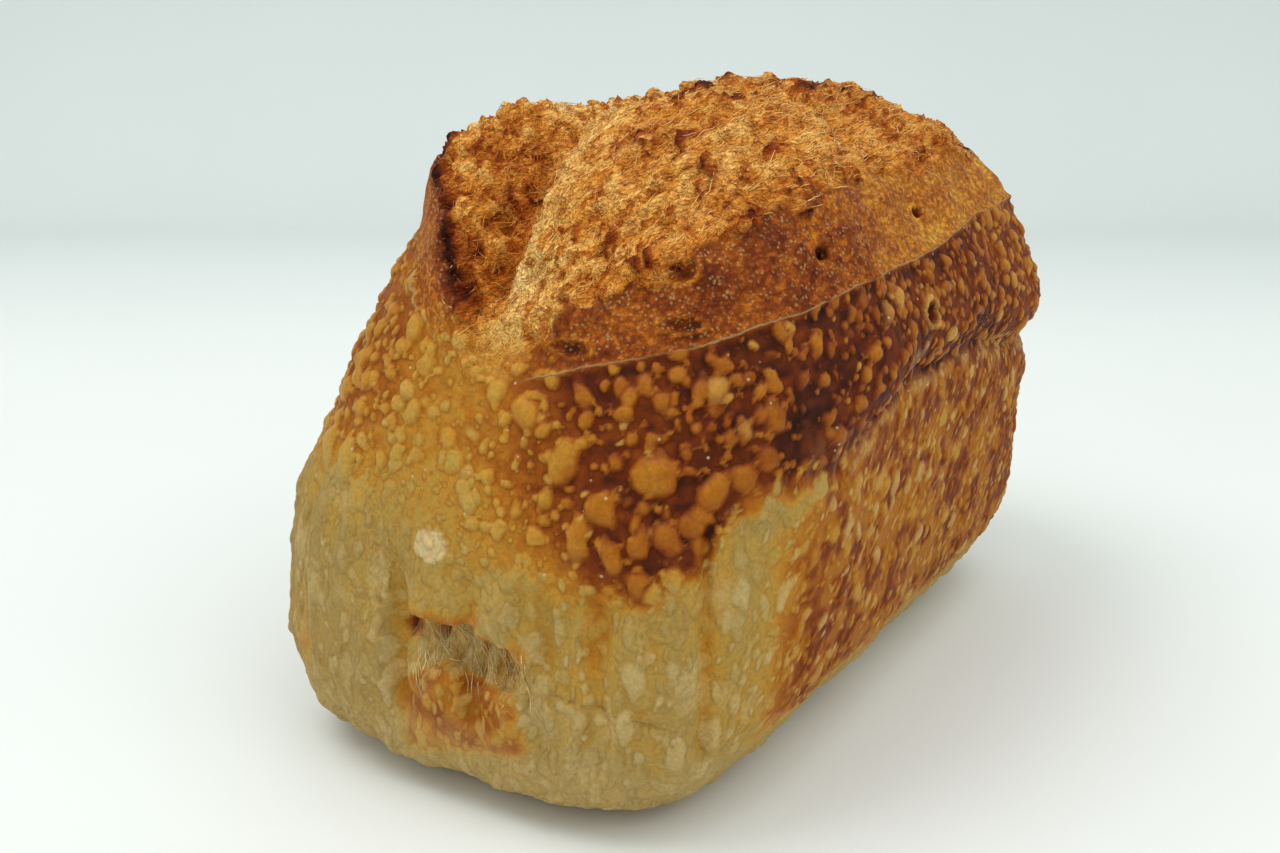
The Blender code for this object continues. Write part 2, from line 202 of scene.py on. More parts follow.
def smooth_curve(places, values, at):
    """A curve through the given points that never swings past them."""
    places = np.asarray(places, float)
    values = np.asarray(values, float)
    steps = np.diff(places)
    slopes = np.diff(values) / steps
    tangents = np.zeros(len(places))
    tangents[0] = end_slope(steps[0], steps[1], slopes[0], slopes[1])
    tangents[-1] = end_slope(steps[-1], steps[-2], slopes[-1], slopes[-2])
    for i in range(1, len(places) - 1):
        if slopes[i - 1] * slopes[i] > 0.0:
            near = 2.0 * steps[i] + steps[i - 1]
            far = steps[i] + 2.0 * steps[i - 1]
            tangents[i] = (near + far) / (near / slopes[i - 1] + far / slopes[i])
    i = np.clip(np.searchsorted(places, at, side="right") - 1, 0, len(steps) - 1)
    t = np.clip((at - places[i]) / steps[i], 0.0, 1.0)
    return (values[i] * (1.0 + 2.0 * t) * (1.0 - t) ** 2
            + values[i + 1] * (3.0 - 2.0 * t) * t ** 2
            + steps[i] * tangents[i] * t * (1.0 - t) ** 2
            - steps[i] * tangents[i + 1] * t ** 2 * (1.0 - t))


def ridge(distance, width):
    """1 on a line, falling smoothly to both sides of it."""
    return np.exp(-(distance / width) ** 2)


def curve(pairs, at):
    """A smooth curve through pairs of a place and a value."""
    return smooth_curve(*np.transpose(pairs), at)


def plan_curve(points, along):
    """Place across at a place along, on a curve through plan points."""
    across, lengthwise = np.asarray(points).T
    return smooth_curve(lengthwise, across, along)


def noise(points, cell, seed):
    """Smooth noise between -1 and 1 with lumps of about one cell."""
    lattice = np.random.default_rng(seed).uniform(-1.0, 1.0, (NOISE_CELLS,) * 3)
    place = points / cell
    corner = np.floor(place).astype(int)
    t = place - corner
    t = t * t * (3.0 - 2.0 * t)
    total = 0.0
    for i in (0, 1):
        for j in (0, 1):
            for k in (0, 1):
                cell_at = (corner + (i, j, k)) % NOISE_CELLS
                pick = lattice[cell_at[..., 0], cell_at[..., 1], cell_at[..., 2]]
                share = (np.abs(1 - i - t[..., 0]) * np.abs(1 - j - t[..., 1])
                         * np.abs(1 - k - t[..., 2]))
                total = total + pick * share
    return total


def section_levels():
    """Level of each section: the length of the loaf's upright line up to it, foot to top."""
    rows = np.asarray(SECTIONS)
    reach = rows[:, 1:5].mean(axis=1)
    steps = np.hypot(np.diff(reach), np.diff(rows[:, 0]))
    return np.concatenate([[0.0], np.cumsum(steps)])


LEVELS = section_levels()
TOP_LEVEL = LEVELS[-1]


def section_value(column, level):
    """One column of the sections, read at a level."""
    return smooth_curve(LEVELS, np.asarray(SECTIONS)[:, column], level)


def outline(angle, right, left, front, back, squareness, end_roundness):
    """Plan point of straight sides joined by boxy oval ends, as round as the width allows."""
    cosine, sine = np.cos(angle), np.sin(angle)
    climb = np.arcsin(np.minimum(np.abs(sine), 1.0))
    along_side = np.clip(climb / SIDE_ANGLE, 0.0, 1.0)
    turn = np.clip((climb - SIDE_ANGLE) / (np.pi / 2.0 - SIDE_ANGLE), 0.0, 1.0) * np.pi / 2.0
    half = np.where(cosine > 0.0, right, -left)
    across = half * np.abs(np.cos(turn)) ** (2.0 / squareness)
    end = end_roundness * (right + left) / 2.0
    straight = np.where(sine < 0.0, front, back) - end
    along = straight * along_side + end * np.sin(turn) ** (2.0 / squareness)
    return across, np.where(sine < 0.0, -along, along)


def base_form(angle, level):
    """Plain form of the loaf, without folds, spill or cut."""
    height, right, left, front, back, squareness = [section_value(i, level) for i in range(6)]
    roundness = np.interp(height, (0.0, ROUND_END_HEIGHT), END_ROUNDNESS)
    across, along = outline(angle, right, left, front, back, squareness, roundness)
    return np.stack([across, along, height], axis=-1)


def outward(angle, level):
    """Unit direction out of the plain form."""
    around = base_form(angle + SMALL_TURN, level) - base_form(angle - SMALL_TURN, level)
    upward = base_form(angle, level + SMALL_CLIMB) - base_form(angle, level - SMALL_CLIMB)
    normal = np.cross(around, upward)
    length = np.linalg.norm(normal, axis=-1, keepdims=True)
    return np.where(length > NO_LENGTH, normal / np.maximum(length, NO_LENGTH), UP)


def above_crease(points):
    """Height above the crease that the tin's rim left."""
    return points[..., 2] - curve(CREASE_LINE, points[..., 1])


def spill_strength(points):
    """How far the dough has spilled over the rim, 0 to 1: from the right side round the back."""
    across, along = points[..., 0], points[..., 1]
    reach = smooth_step(BULGE_FRONT, BULGE_FRONT + BULGE_FADE, along)
    strength = BULGE_AT_FRONT + (1.0 - BULGE_AT_FRONT) * smooth_step(0.0, -BULGE_FRONT, along)
    outer = np.abs(across) + SPILL_ROUND_BACK * np.maximum(along, 0.0)
    return strength * reach * smooth_step(-SPILL_FADE, SPILL_FADE, outer)


def overflow(points):
    """Height out of the side of the dough that spilled over the rim, with its crease below."""
    above = above_crease(points)
    bulge = smooth_step(0.0, BULGE_FULL_HEIGHT, above)
    bulge = bulge * smooth_step(BULGE_HEIGHT, BULGE_FULL_HEIGHT, above)
    crease = ridge(above, CREASE_WIDTH)
    return spill_strength(points) * (BULGE * bulge - CREASE_DEPTH * crease)


def line_offset(line, points):
    """Distance to the right of a plan line, square to it."""
    along = points[..., 1]
    place = plan_curve(line, along)
    ahead = plan_curve(line, along + 1.0)
    return (points[..., 0] - place) / np.hypot(1.0, ahead - place)


def cut_strength(points):
    """1 along the cut, 0 past its two ends."""
    along = points[..., 1]
    return (smooth_step(CUT_FRONT, CUT_FRONT + CUT_FADE, along)
            * smooth_step(CUT_BACK, CUT_BACK - CUT_FADE, along))


def cut_relief(points):
    """Rise of the ear and fall of the valley beside it."""
    along = points[..., 1]
    from_crest = line_offset(EAR_CREST, points)
    from_valley = line_offset(VALLEY, points)
    ragged = 1.0 + EAR_RAGGEDNESS * noise(points * RAGGED_PLANE, RAGGED_SIZE, RAGGED_SEED)
    ear = curve(EAR_HEIGHTS, along) * ragged
    valley = curve(VALLEY_DEPTHS, along) * cut_strength(points)
    outer = smooth_step(-EAR_SLOPE, 0.0, from_crest)
    drop = smooth_step(0.0, 1.0, from_crest / np.maximum(from_crest - from_valley, 1.0))
    rise = smooth_step(0.0, VALLEY_RISE, from_valley)
    profile = ear * outer * (1.0 - drop) - valley * drop * (1.0 - rise)
    return profile * smooth_step(*CUT_LOWEST, points[..., 2])


def crags(points):
    """Ragged ridges of the torn crumb."""
    inside = (smooth_step(0.0, CRAG_FADE_FROM_EAR, line_offset(EAR_CREST, points))
              * smooth_step(0.0, CRAG_FADE_TO_EDGE, -line_offset(RIGHT_EDGE, points))
              * smooth_step(*CRAG_LOWEST, points[..., 2]))
    ridges = 1.0 - 2.0 * np.abs(noise(points / (1.0, CRAG_STRETCH, 1.0), CRAG_SIZE, CRAG_SEED))
    return CRAG_HEIGHT * inside * ridges


def window(low, high, fade, value):
    """1 between low and high, 0 outside them, with smooth ends inside."""
    return smooth_step(low, low + fade, value) * smooth_step(high, high - fade, value)


def front_relief(points):
    """Upright folds and the tear on the front end, as height out of it."""
    across, along, height = points[..., 0], points[..., 1], points[..., 2]
    folds = sum(ridge(across - place, FOLD_WIDTH) for place in FOLDS)
    upright = window(*FOLD_SPAN, FOLD_FADE, height)
    wide = window(TEAR_LEFT, TEAR_RIGHT, TEAR_FADE, across)
    pocket = wide * np.exp(-((height - TEAR_HEIGHT) / TEAR_GAPE) ** 4)
    lip = wide * ridge(height - LIP_HEIGHT, TEAR_GAPE)
    relief = LIP * lip - TEAR_DEPTH * pocket - FOLD_DEPTH * folds * upright * (1.0 - pocket)
    return relief * smooth_step(*FRONT_FACE, along)


def loaf_form(angle, level):
    """Points of the plain form and of the finished form."""
    points = base_form(angle, level)
    normals = outward(angle, level)
    lumps = LUMP_HEIGHT * noise(points, LUMP_SIZE, LUMP_SEED)
    out = overflow(points) + crags(points) + front_relief(points) + lumps
    upward = normals + UP
    upward = upward / np.linalg.norm(upward, axis=-1, keepdims=True)
    shift = out[..., None] * normals + cut_relief(points)[..., None] * upward
    shift[..., 2] *= smooth_step(0.0, LEVEL_FOOT, points[..., 2])
    return points, points + shift


def outline_lengths():
    """Angles round the widest section, and the length of the outline up to each."""
    places = np.linspace(-CORNER_ANGLE, 2.0 * np.pi - CORNER_ANGLE, OUTLINE_SAMPLES)
    widest = base_form(places, np.full_like(places, LEVELS[WIDEST_SECTION]))
    steps = np.hypot(*np.diff(widest[:, :2], axis=0).T)
    return places, np.concatenate([[0.0], np.cumsum(steps)])


def side_angles():
    """Angles of the columns, from the front right corner round by the back to where they began."""
    places, lengths = outline_lengths()
    corners = (-CORNER_ANGLE, CORNER_ANGLE, np.pi - CORNER_ANGLE, np.pi + CORNER_ANGLE,
               2.0 * np.pi - CORNER_ANGLE)
    counts = (CELLS_ALONG, CELLS_ACROSS, CELLS_ALONG, CELLS_ACROSS)
    marks = np.interp(corners, places, lengths)
    runs = [np.interp(np.linspace(marks[i], marks[i + 1], counts[i] + 1), lengths, places)[:-1]
            for i in range(4)]
    return np.concatenate(runs)


def crown_level(share, top):
    """Level at which the plain form has shrunk to a share of its size where the crown begins."""
    levels = np.linspace(top, TOP_LEVEL, CROWN_SAMPLES)
    reach = sum(section_value(i, levels) for i in range(1, 5))
    return np.interp(share, (reach / reach[0])[::-1], levels[::-1])


def ring_step(across, along):
    """Column number, with a fraction, at which a point of the unit square's rings sits."""
    wide, long = CELLS_ACROSS, CELLS_ALONG
    share = np.maximum(np.maximum(np.abs(across), np.abs(along)), NO_LENGTH)
    x, y = across / share, along / share
    right = (y + 1.0) / 2.0 * long
    back = long + (1.0 - x) / 2.0 * wide
    left = long + wide + (1.0 - y) / 2.0 * long
    front = 2 * long + wide + (1.0 + x) / 2.0 * wide
    return np.where(x >= np.abs(y), right,
                    np.where(y >= np.abs(x), back, np.where(-x >= np.abs(y), left, front)))


def quads(grid):
    """Corner numbers of the cells of a grid of vertex numbers."""
    return np.stack([grid[:-1, :-1], grid[1:, :-1], grid[1:, 1:], grid[:-1, 1:]],
                    axis=-1).reshape(-1, 4)


def build_grid():
    """Plain points, finished points, faces and the place of each face's corners in the unwrap."""
    angles = side_angles()
    top = np.interp(CROWN_HEIGHT, np.asarray(SECTIONS)[:, 0], LEVELS)
    levels = np.linspace(0.0, top, ROWS_UP + 1)
    columns = len(angles)
    grid_levels, grid_angles = np.meshgrid(levels, angles, indexing="ij")
    closed = np.append(angles, angles[0] + 2.0 * np.pi)

    # Rims of the two caps in order of the columns, then their inner points
    wide, long = CELLS_ACROSS, CELLS_ALONG
    rim = ([(wide, n) for n in range(long)] + [(wide - n, long) for n in range(wide)]
           + [(0, long - n) for n in range(long)] + [(n, 0) for n in range(wide)])
    rim = np.array(rim)
    i, j = [a.ravel() for a in np.meshgrid(np.arange(1, wide), np.arange(1, long),
                                           indexing="ij")]
    across, along = 2.0 * i / wide - 1.0, 2.0 * j / long - 1.0
    share = np.maximum(np.abs(across), np.abs(along))
    cap_angles = np.interp(ring_step(across, along), np.arange(columns + 1), closed)

    all_angles = [grid_angles.ravel(), cap_angles, cap_angles]
    all_levels = [grid_levels.ravel(), crown_level(share, top), np.zeros_like(share)]
    plain, points = loaf_form(np.concatenate(all_angles), np.concatenate(all_levels))
    inner = len(share)
    bottom_start = len(plain) - inner
    for array in (plain, points):
        array[bottom_start:] *= share[:, None]

    # Sides: one grid of vertex numbers, closed round the loaf
    numbers = np.arange((ROWS_UP + 1) * columns).reshape(ROWS_UP + 1, columns)
    ring = np.concatenate([numbers, numbers[:, :1]], axis=1)
    side_faces = quads(ring)[:, [0, 3, 2, 1]]
    caps = []
    for rim_row, start in ((numbers[-1], len(numbers.ravel())), (numbers[0], bottom_start)):
        cap = np.zeros((wide + 1, long + 1), int)
        cap[rim[:, 0], rim[:, 1]] = rim_row
        cap[i, j] = start + np.arange(inner)
        caps.append(quads(cap))
    faces = np.concatenate([side_faces, caps[0], caps[1][:, ::-1]])
    unwrap = bake_unwrap(points, faces, levels, columns, len(side_faces), len(caps[0]))
    return plain, points, faces, unwrap


# Layout of the unwrap for baking, in millimetres of loaf
SHEET = 445.0
SHEET_GAP = 5.0
STRIP_HEIGHT = 150.0
CROWN_LEFT = 95.0
BOTTOM_LEFT = 300.0
CAPS_MIDDLE = 372.0


def bake_unwrap(points, faces, levels, columns, side_count, cap_count):
    """Unwrap place of every face corner: two strips of the side, the crown and the bottom."""
    total = outline_lengths()[1][-1]
    half = CELLS_ALONG + CELLS_ACROSS
    row, column = np.divmod(np.arange(side_count), columns)
    strip = column // half
    corners = np.zeros((side_count, 4, 2))
    for corner, (up, over) in enumerate(((0, 0), (0, 1), (1, 1), (1, 0))):
        step = (column - strip * half + over) / half * total / 2.0
        corners[:, corner, 0] = SHEET_GAP + step
        corners[:, corner, 1] = SHEET_GAP + strip * STRIP_HEIGHT + levels[row + up]
    middle = (points.min(axis=0) + points.max(axis=0)) / 2.0
    caps = []
    for first, left in ((side_count, CROWN_LEFT), (side_count + cap_count, BOTTOM_LEFT)):
        flat = points[faces[first:first + cap_count], :2] - middle[:2]
        caps.append(flat[..., ::-1] + (left, CAPS_MIDDLE))
    return np.concatenate([corners] + caps) / SHEET


def make_mesh(name, points, faces):
    """Mesh from arrays of points in metres and of faces with equal numbers of corners."""
    mesh = bpy.data.meshes.new(name)
    corners = faces.shape[1]
    mesh.vertices.add(len(points))
    mesh.vertices.foreach_set("co", points.astype(np.float32).ravel())
    mesh.loops.add(faces.size)
    mesh.loops.foreach_set("vertex_index", faces.astype(np.int32).ravel())
    mesh.polygons.add(len(faces))
    mesh.polygons.foreach_set("loop_start", np.arange(0, faces.size, corners, dtype=np.int32))
    mesh.update(calc_edges=True)
    mesh.shade_smooth()
    return mesh


def vertex_normals(points, faces):
    """Unit normals of a mesh, read from Blender."""
    mesh = make_mesh("measured", points * MM, faces)
    normals = np.zeros(len(points) * 3, np.float32)
    mesh.vertex_normals.foreach_get("vector", normals)
    bpy.data.meshes.remove(mesh)
    return normals.reshape(-1, 3).astype(float)


# Random numbers of a cell, the first three of them its middle, and the depth inside a blister
# and the distance from a flake where there is none
NUMBERS_PER_CELL = 7
NO_BLISTER = -9.0
NO_FLAKE = 9.0


def neighbours(points, seed):
    """For each of the 27 cells round each point: the way from its middle, and its numbers."""
    size = (NOISE_CELLS,) * 3 + (NUMBERS_PER_CELL,)
    table = np.random.default_rng(seed).uniform(0.0, 1.0, size)
    corner = np.floor(points).astype(int)
    for step in itertools.product((-1, 0, 1), repeat=3):
        cell_at = corner + step
        pick = table[tuple((cell_at % NOISE_CELLS).T)]
        yield points - cell_at - pick[:, :3], pick[:, 3:]


def bubbles(points, cell, smallest, largest, share, seed):
    """Round blisters: how far inside the nearest one's edge each point is, how far inside the
    next one's, and the nearest one's radius and own number."""
    first = np.full(len(points), NO_BLISTER)
    second = first.copy()
    size = np.ones(len(points))
    own = np.zeros(len(points))
    for away, numbers in neighbours(points / cell, seed):
        radius = smallest + (largest - smallest) * numbers[:, 1]
        inside = (radius ** 2 - (away ** 2).sum(axis=1)) / (2.0 * radius)
        inside = np.where(numbers[:, 0] < share, inside, NO_BLISTER)
        deeper = inside > first
        second = np.where(deeper, first, np.maximum(second, inside))
        size = np.where(deeper, radius, size)
        own = np.where(deeper, numbers[:, 2], own)
        first = np.where(deeper, inside, first)
    return first * cell, second * cell, size * cell, own


def flakes(points, cell, seed):
    """Torn flakes: the way from the middle of each point's flake, and that flake's number."""
    nearest = np.full(len(points), NO_FLAKE)
    way = np.zeros((len(points), 3))
    own = np.zeros(len(points))
    for away, numbers in neighbours(points / cell, seed):
        distance = (away ** 2).sum(axis=1)
        nearer = distance < nearest
        way = np.where(nearer[:, None], away, way)
        own = np.where(nearer, numbers[:, 0], own)
        nearest = np.where(nearer, distance, nearest)
    return way, own


def mix(a, b, share):
    """Colours or values between a and b."""
    return a + (b - a) * share


def linear(color):
    """Linear light of a colour given in the photo's scale of 0 to 255."""
    c = np.asarray(color, float) / 255.0
    return np.where(c <= 0.04045, c / 12.92, ((c + 0.055) / 1.055) ** 2.4)


def baked_color(tone, steps=BAKED_COLORS):
    """Colour of crust or of torn crumb, in linear light, by how far it is baked."""
    tones = [step for step, color in steps]
    colors = np.array([linear(color) for step, color in steps])
    return np.stack([np.interp(tone, tones, colors[:, i]) for i in range(3)], axis=-1)


def near(points, place, radius):
    """1 at a place, falling smoothly to 0 at a radius."""
    distance = np.linalg.norm((points - place) / radius, axis=-1)
    return smooth_step(1.0, 0.0, distance)


# Upright fold at the front right corner: its turn, millimetres for a degree there, its heights
CORNER_FOLD_TURN = -59.8
CORNER_FOLD_SCALE = 1.74
CORNER_FOLD_SPAN = (14.0, 72.0)

# How far the smooth outer strip reaches over the ear's crest near the front, and its width
CREST_SHIFT = 1.0
STRIP_WIDTH = 6.0

# Brown patch under the tear and the torn pad in it: spans with their fades, and half sizes
PATCH_ACROSS = (-17.0, 19.0, 4.0)
PATCH_HEIGHTS = (12.0, 35.0, 4.0)
PATCH_SLANT = 0.25
PAD_MIDDLE = 4.0
PAD_REACH = 16.0
PAD_HALF_HEIGHT = 4.8
PAD_RISE = 1.5
PAD_SLANT = 0.2
PAD_LEAN = (0.3, 0.0, 0.95)
TEAR_LIP_WIDTH = 1.7
TEAR_LIP_SLANT = 0.22

# Scales along the torn edge: their size, how long they are, and how far they move the edge
EDGE_SCALE_SIZE = 4.6
EDGE_SCALE_STRETCH = (1.0, 1.6, 1.0)
EDGE_SCALE_REACH = 3.6

# Wrinkles of the pale ends: the way they run and how much longer than wide they are
WRINKLE_LEAN = (0.12, 0.12, 0.985)
WRINKLE_STRETCH = 4.5

# Torn flakes: size of the large and the small ones, how long they are, and their slant
FLAKE_SIZE = 5.5
FLAKE_STRETCH = (1.0, 2.4, 1.0)
FLAKE_SLANT = (-0.95, -0.45)
SMALL_FLAKE_SIZE = 2.6
SMALL_FLAKE_STRETCH = (1.0, 2.2, 1.0)
SMALL_FLAKE_SLANT = (-0.9, -0.5)
STRAND_STRETCH = (1.0, 4.0, 1.0)

# Slant of the long blisters on the walls, and how much longer than wide blisters are
WALL_SLANT = (0.0, 0.50, 0.87)
WALL_STRETCH = 1.25
FRONT_STRETCH = 1.8

# Sizes of blisters, as a cell, the smallest and largest radius in cells, and the share of cells
# that hold one
SHOULDER_BLISTERS = ((7.4, 0.24, 0.52, 0.50), (3.9, 0.28, 0.60, 0.80), (2.3, 0.30, 0.56, 0.90))
FRONT_BLISTERS = ((5.0, 0.26, 0.50, 0.45), (3.1, 0.30, 0.56, 0.70), (2.0, 0.32, 0.56, 0.80))
WALL_BLISTERS = ((4.8, 0.26, 0.55, 0.45), (2.9, 0.28, 0.58, 0.65), (1.9, 0.32, 0.56, 0.75))
CREASE_BETWEEN = 0.30
DOME_RISE = 1.5
DOME_TOP = 2.7
PALE_BLISTERS = 0.95

# How far a blister's edge lies from its middle in the field that colours it: a share of its
# radius and a fixed part
FIELD_SHARE = 0.36
FIELD_EDGE = 0.12

# How far patterns are pushed about before blisters are placed, and how deep the gaps sink
BLISTER_WARP = 0.95
SINGLE_WARP = 1.2
GAP_DEPTH = 0.4

# How much lighter a blister's top, painted light on its dome included, may be than baked crust,
# where that is pale and where dark
MOST_LIGHTER = (0.30, 0.60)

# Large blisters that the photo shows: place, radius, how tall for their width, and how pale
SINGLE_BLISTERS = (
    ((40.0, -89.0, 78.0), 4.6, 1.15, 0.45), ((24.0, -94.0, 79.0), 3.8, 1.25, 0.60),
    ((49.0, -81.5, 75.0), 3.5, 1.0, 0.62), ((53.5, -78.5, 77.0), 3.2, 1.0, 0.65),
    ((32.0, -94.0, 72.0), 3.4, 1.3, 0.42), ((43.5, -90.0, 67.0), 3.0, 1.2, 0.40),
    ((39.0, -92.5, 65.0), 2.6, 1.3, 0.40), ((47.5, -86.5, 69.0), 2.6, 1.3, 0.42),
    ((28.5, -96.0, 66.0), 2.6, 2.2, 0.55), ((35.0, -95.0, 62.5), 2.5, 1.9, 0.50),
    ((47.0, -76.0, 97.0), 2.6, 1.0, 0.62), ((45.0, -80.5, 92.0), 2.3, 1.1, 0.60),
    ((26.0, -90.0, 91.0), 2.4, 1.0, 0.55), ((33.0, -87.5, 88.5), 2.3, 1.0, 0.50),
    ((54.0, -70.0, 95.0), 1.9, 1.0, 0.90), ((61.0, -58.0, 92.0), 2.0, 1.2, 0.80),
    ((57.0, -57.0, 99.0), 2.1, 1.0, 0.82), ((53.5, -64.0, 98.5), 1.9, 1.0, 0.72),
    ((41.0, -81.5, 95.5), 1.9, 1.0, 0.66), ((35.5, -84.5, 93.5), 1.8, 1.0, 0.60),
    ((-36.0, -89.0, 84.0), 3.0, 1.3, 0.60), ((-40.0, -90.0, 72.0), 3.2, 1.9, 0.70),
    ((-30.0, -93.0, 70.0), 3.4, 1.8, 0.66), ((-33.0, -91.0, 88.0), 2.6, 1.0, 0.62),
)

# Single features of the crust: places of holes, pits and patches
HOLES = (((53.4, -47.0, 114.0), 1.9), ((53.3, 3.0, 115.4), 1.7))
PITS = (((37.0, -74.5, 113.0), (3.5, 6.0, 2.6)), ((21.0, -87.4, 99.0), (5.0, 3.0, 2.0)),
        ((39.8, -78.1, 104.1), (5.5, 4.0, 1.8)))
BROKEN_BLISTER = (61.8, -11.5, 96.7)
FLOURY_PATCH = (63.7, -17.2, 89.4)
PALE_FLAKE = (-4.6, -99.8, 58.3)
PALE_FLAKE_REACH = (5.8, 7.0, 4.9)
BROKEN_REACH = (5.0, 4.0, 3.2)
BROKEN_RIM_REACH = (7.0, 5.8, 4.6)
FLOURY_REACH = (6.0, 7.0, 6.0)
DARK_SPOTS = (((58.4, -66.5, 84.8), 9.0, 0.12), ((45.0, -81.0, 90.5), 9.0, 0.05))
TEAR_HOLLOWS = (((-11.0, -100.0, 39.5), (4.5, 9.0, 3.6), 1.0),
                ((-4.0, -101.0, 39.5), (2.6, 9.0, 3.6), 1.0),
                ((-18.5, -99.5, 43.5), (2.2, 8.0, 1.6), 0.25))

# Tones of the parts of the crust, from 0 for unbaked to 1 for black
END_PALE_TONE = 0.03
WALL_FOOT_TONE = 0.18
WALL_MIDDLE_TONE = 0.23
WALL_BLOTCH_TONE = 0.28
PATCH_TONE = 0.56
PATCH_TOP_TONE = 0.34
LIP_TONE = 0.48
# Painted shade in the tear's hollows
HOLLOW_SHADE_TONE = 0.80
CRUMB_TONE = 0.17
TORCHED_TONE = 0.48
EAR_WALL_TONE = 0.30
BAND_TONE = 0.70
BAND_PALER_BACK = 0.25
STRIP_TONE = 0.58
BURNT_TONE = 0.92
# Painted shade in the band's holes
HOLE_SHADE_TONE = 0.93
BROKEN_TONE = 0.86
SEAM_TONE = 0.42

# Heights and depths of the parts of the relief
HOLLOW_DEPTH = 4.0
STRAND_HEIGHT = 0.60
CORD_HEIGHT = 0.95
FLAKE_LIFT = 1.5
SMALL_FLAKE_LIFT = 0.9
SHAG_HEIGHT = 1.8
VALLEY_SUNK = 3.0
SEAM_HEIGHT = 0.40
SEAM_REACH = 4.0
HOLE_DEPTH = 3.4
PIT_DEPTH = 1.3
BROKEN_DEPTH = 1.8
WRINKLE_HEIGHT = 1.4
UPRIGHT_FOLD_DEPTH = 1.8
UPRIGHT_FOLD_WIDTH = 2.1
CORNER_FOLD_DEPTH = 1.7
CORNER_FOLD_WIDTH = 1.3
CORNER_FOLD_FADE = 9.0
FOOT_BAND = (25.0, 14.0)
BOTTOM_TOP = 0.01


def stretched(points, direction, stretch):
    """Points squeezed along a direction, so that patterns come out longer that way."""
    direction = np.asarray(direction)
    along = points @ direction
    return points + np.outer(along * (1.0 / stretch - 1.0), direction)


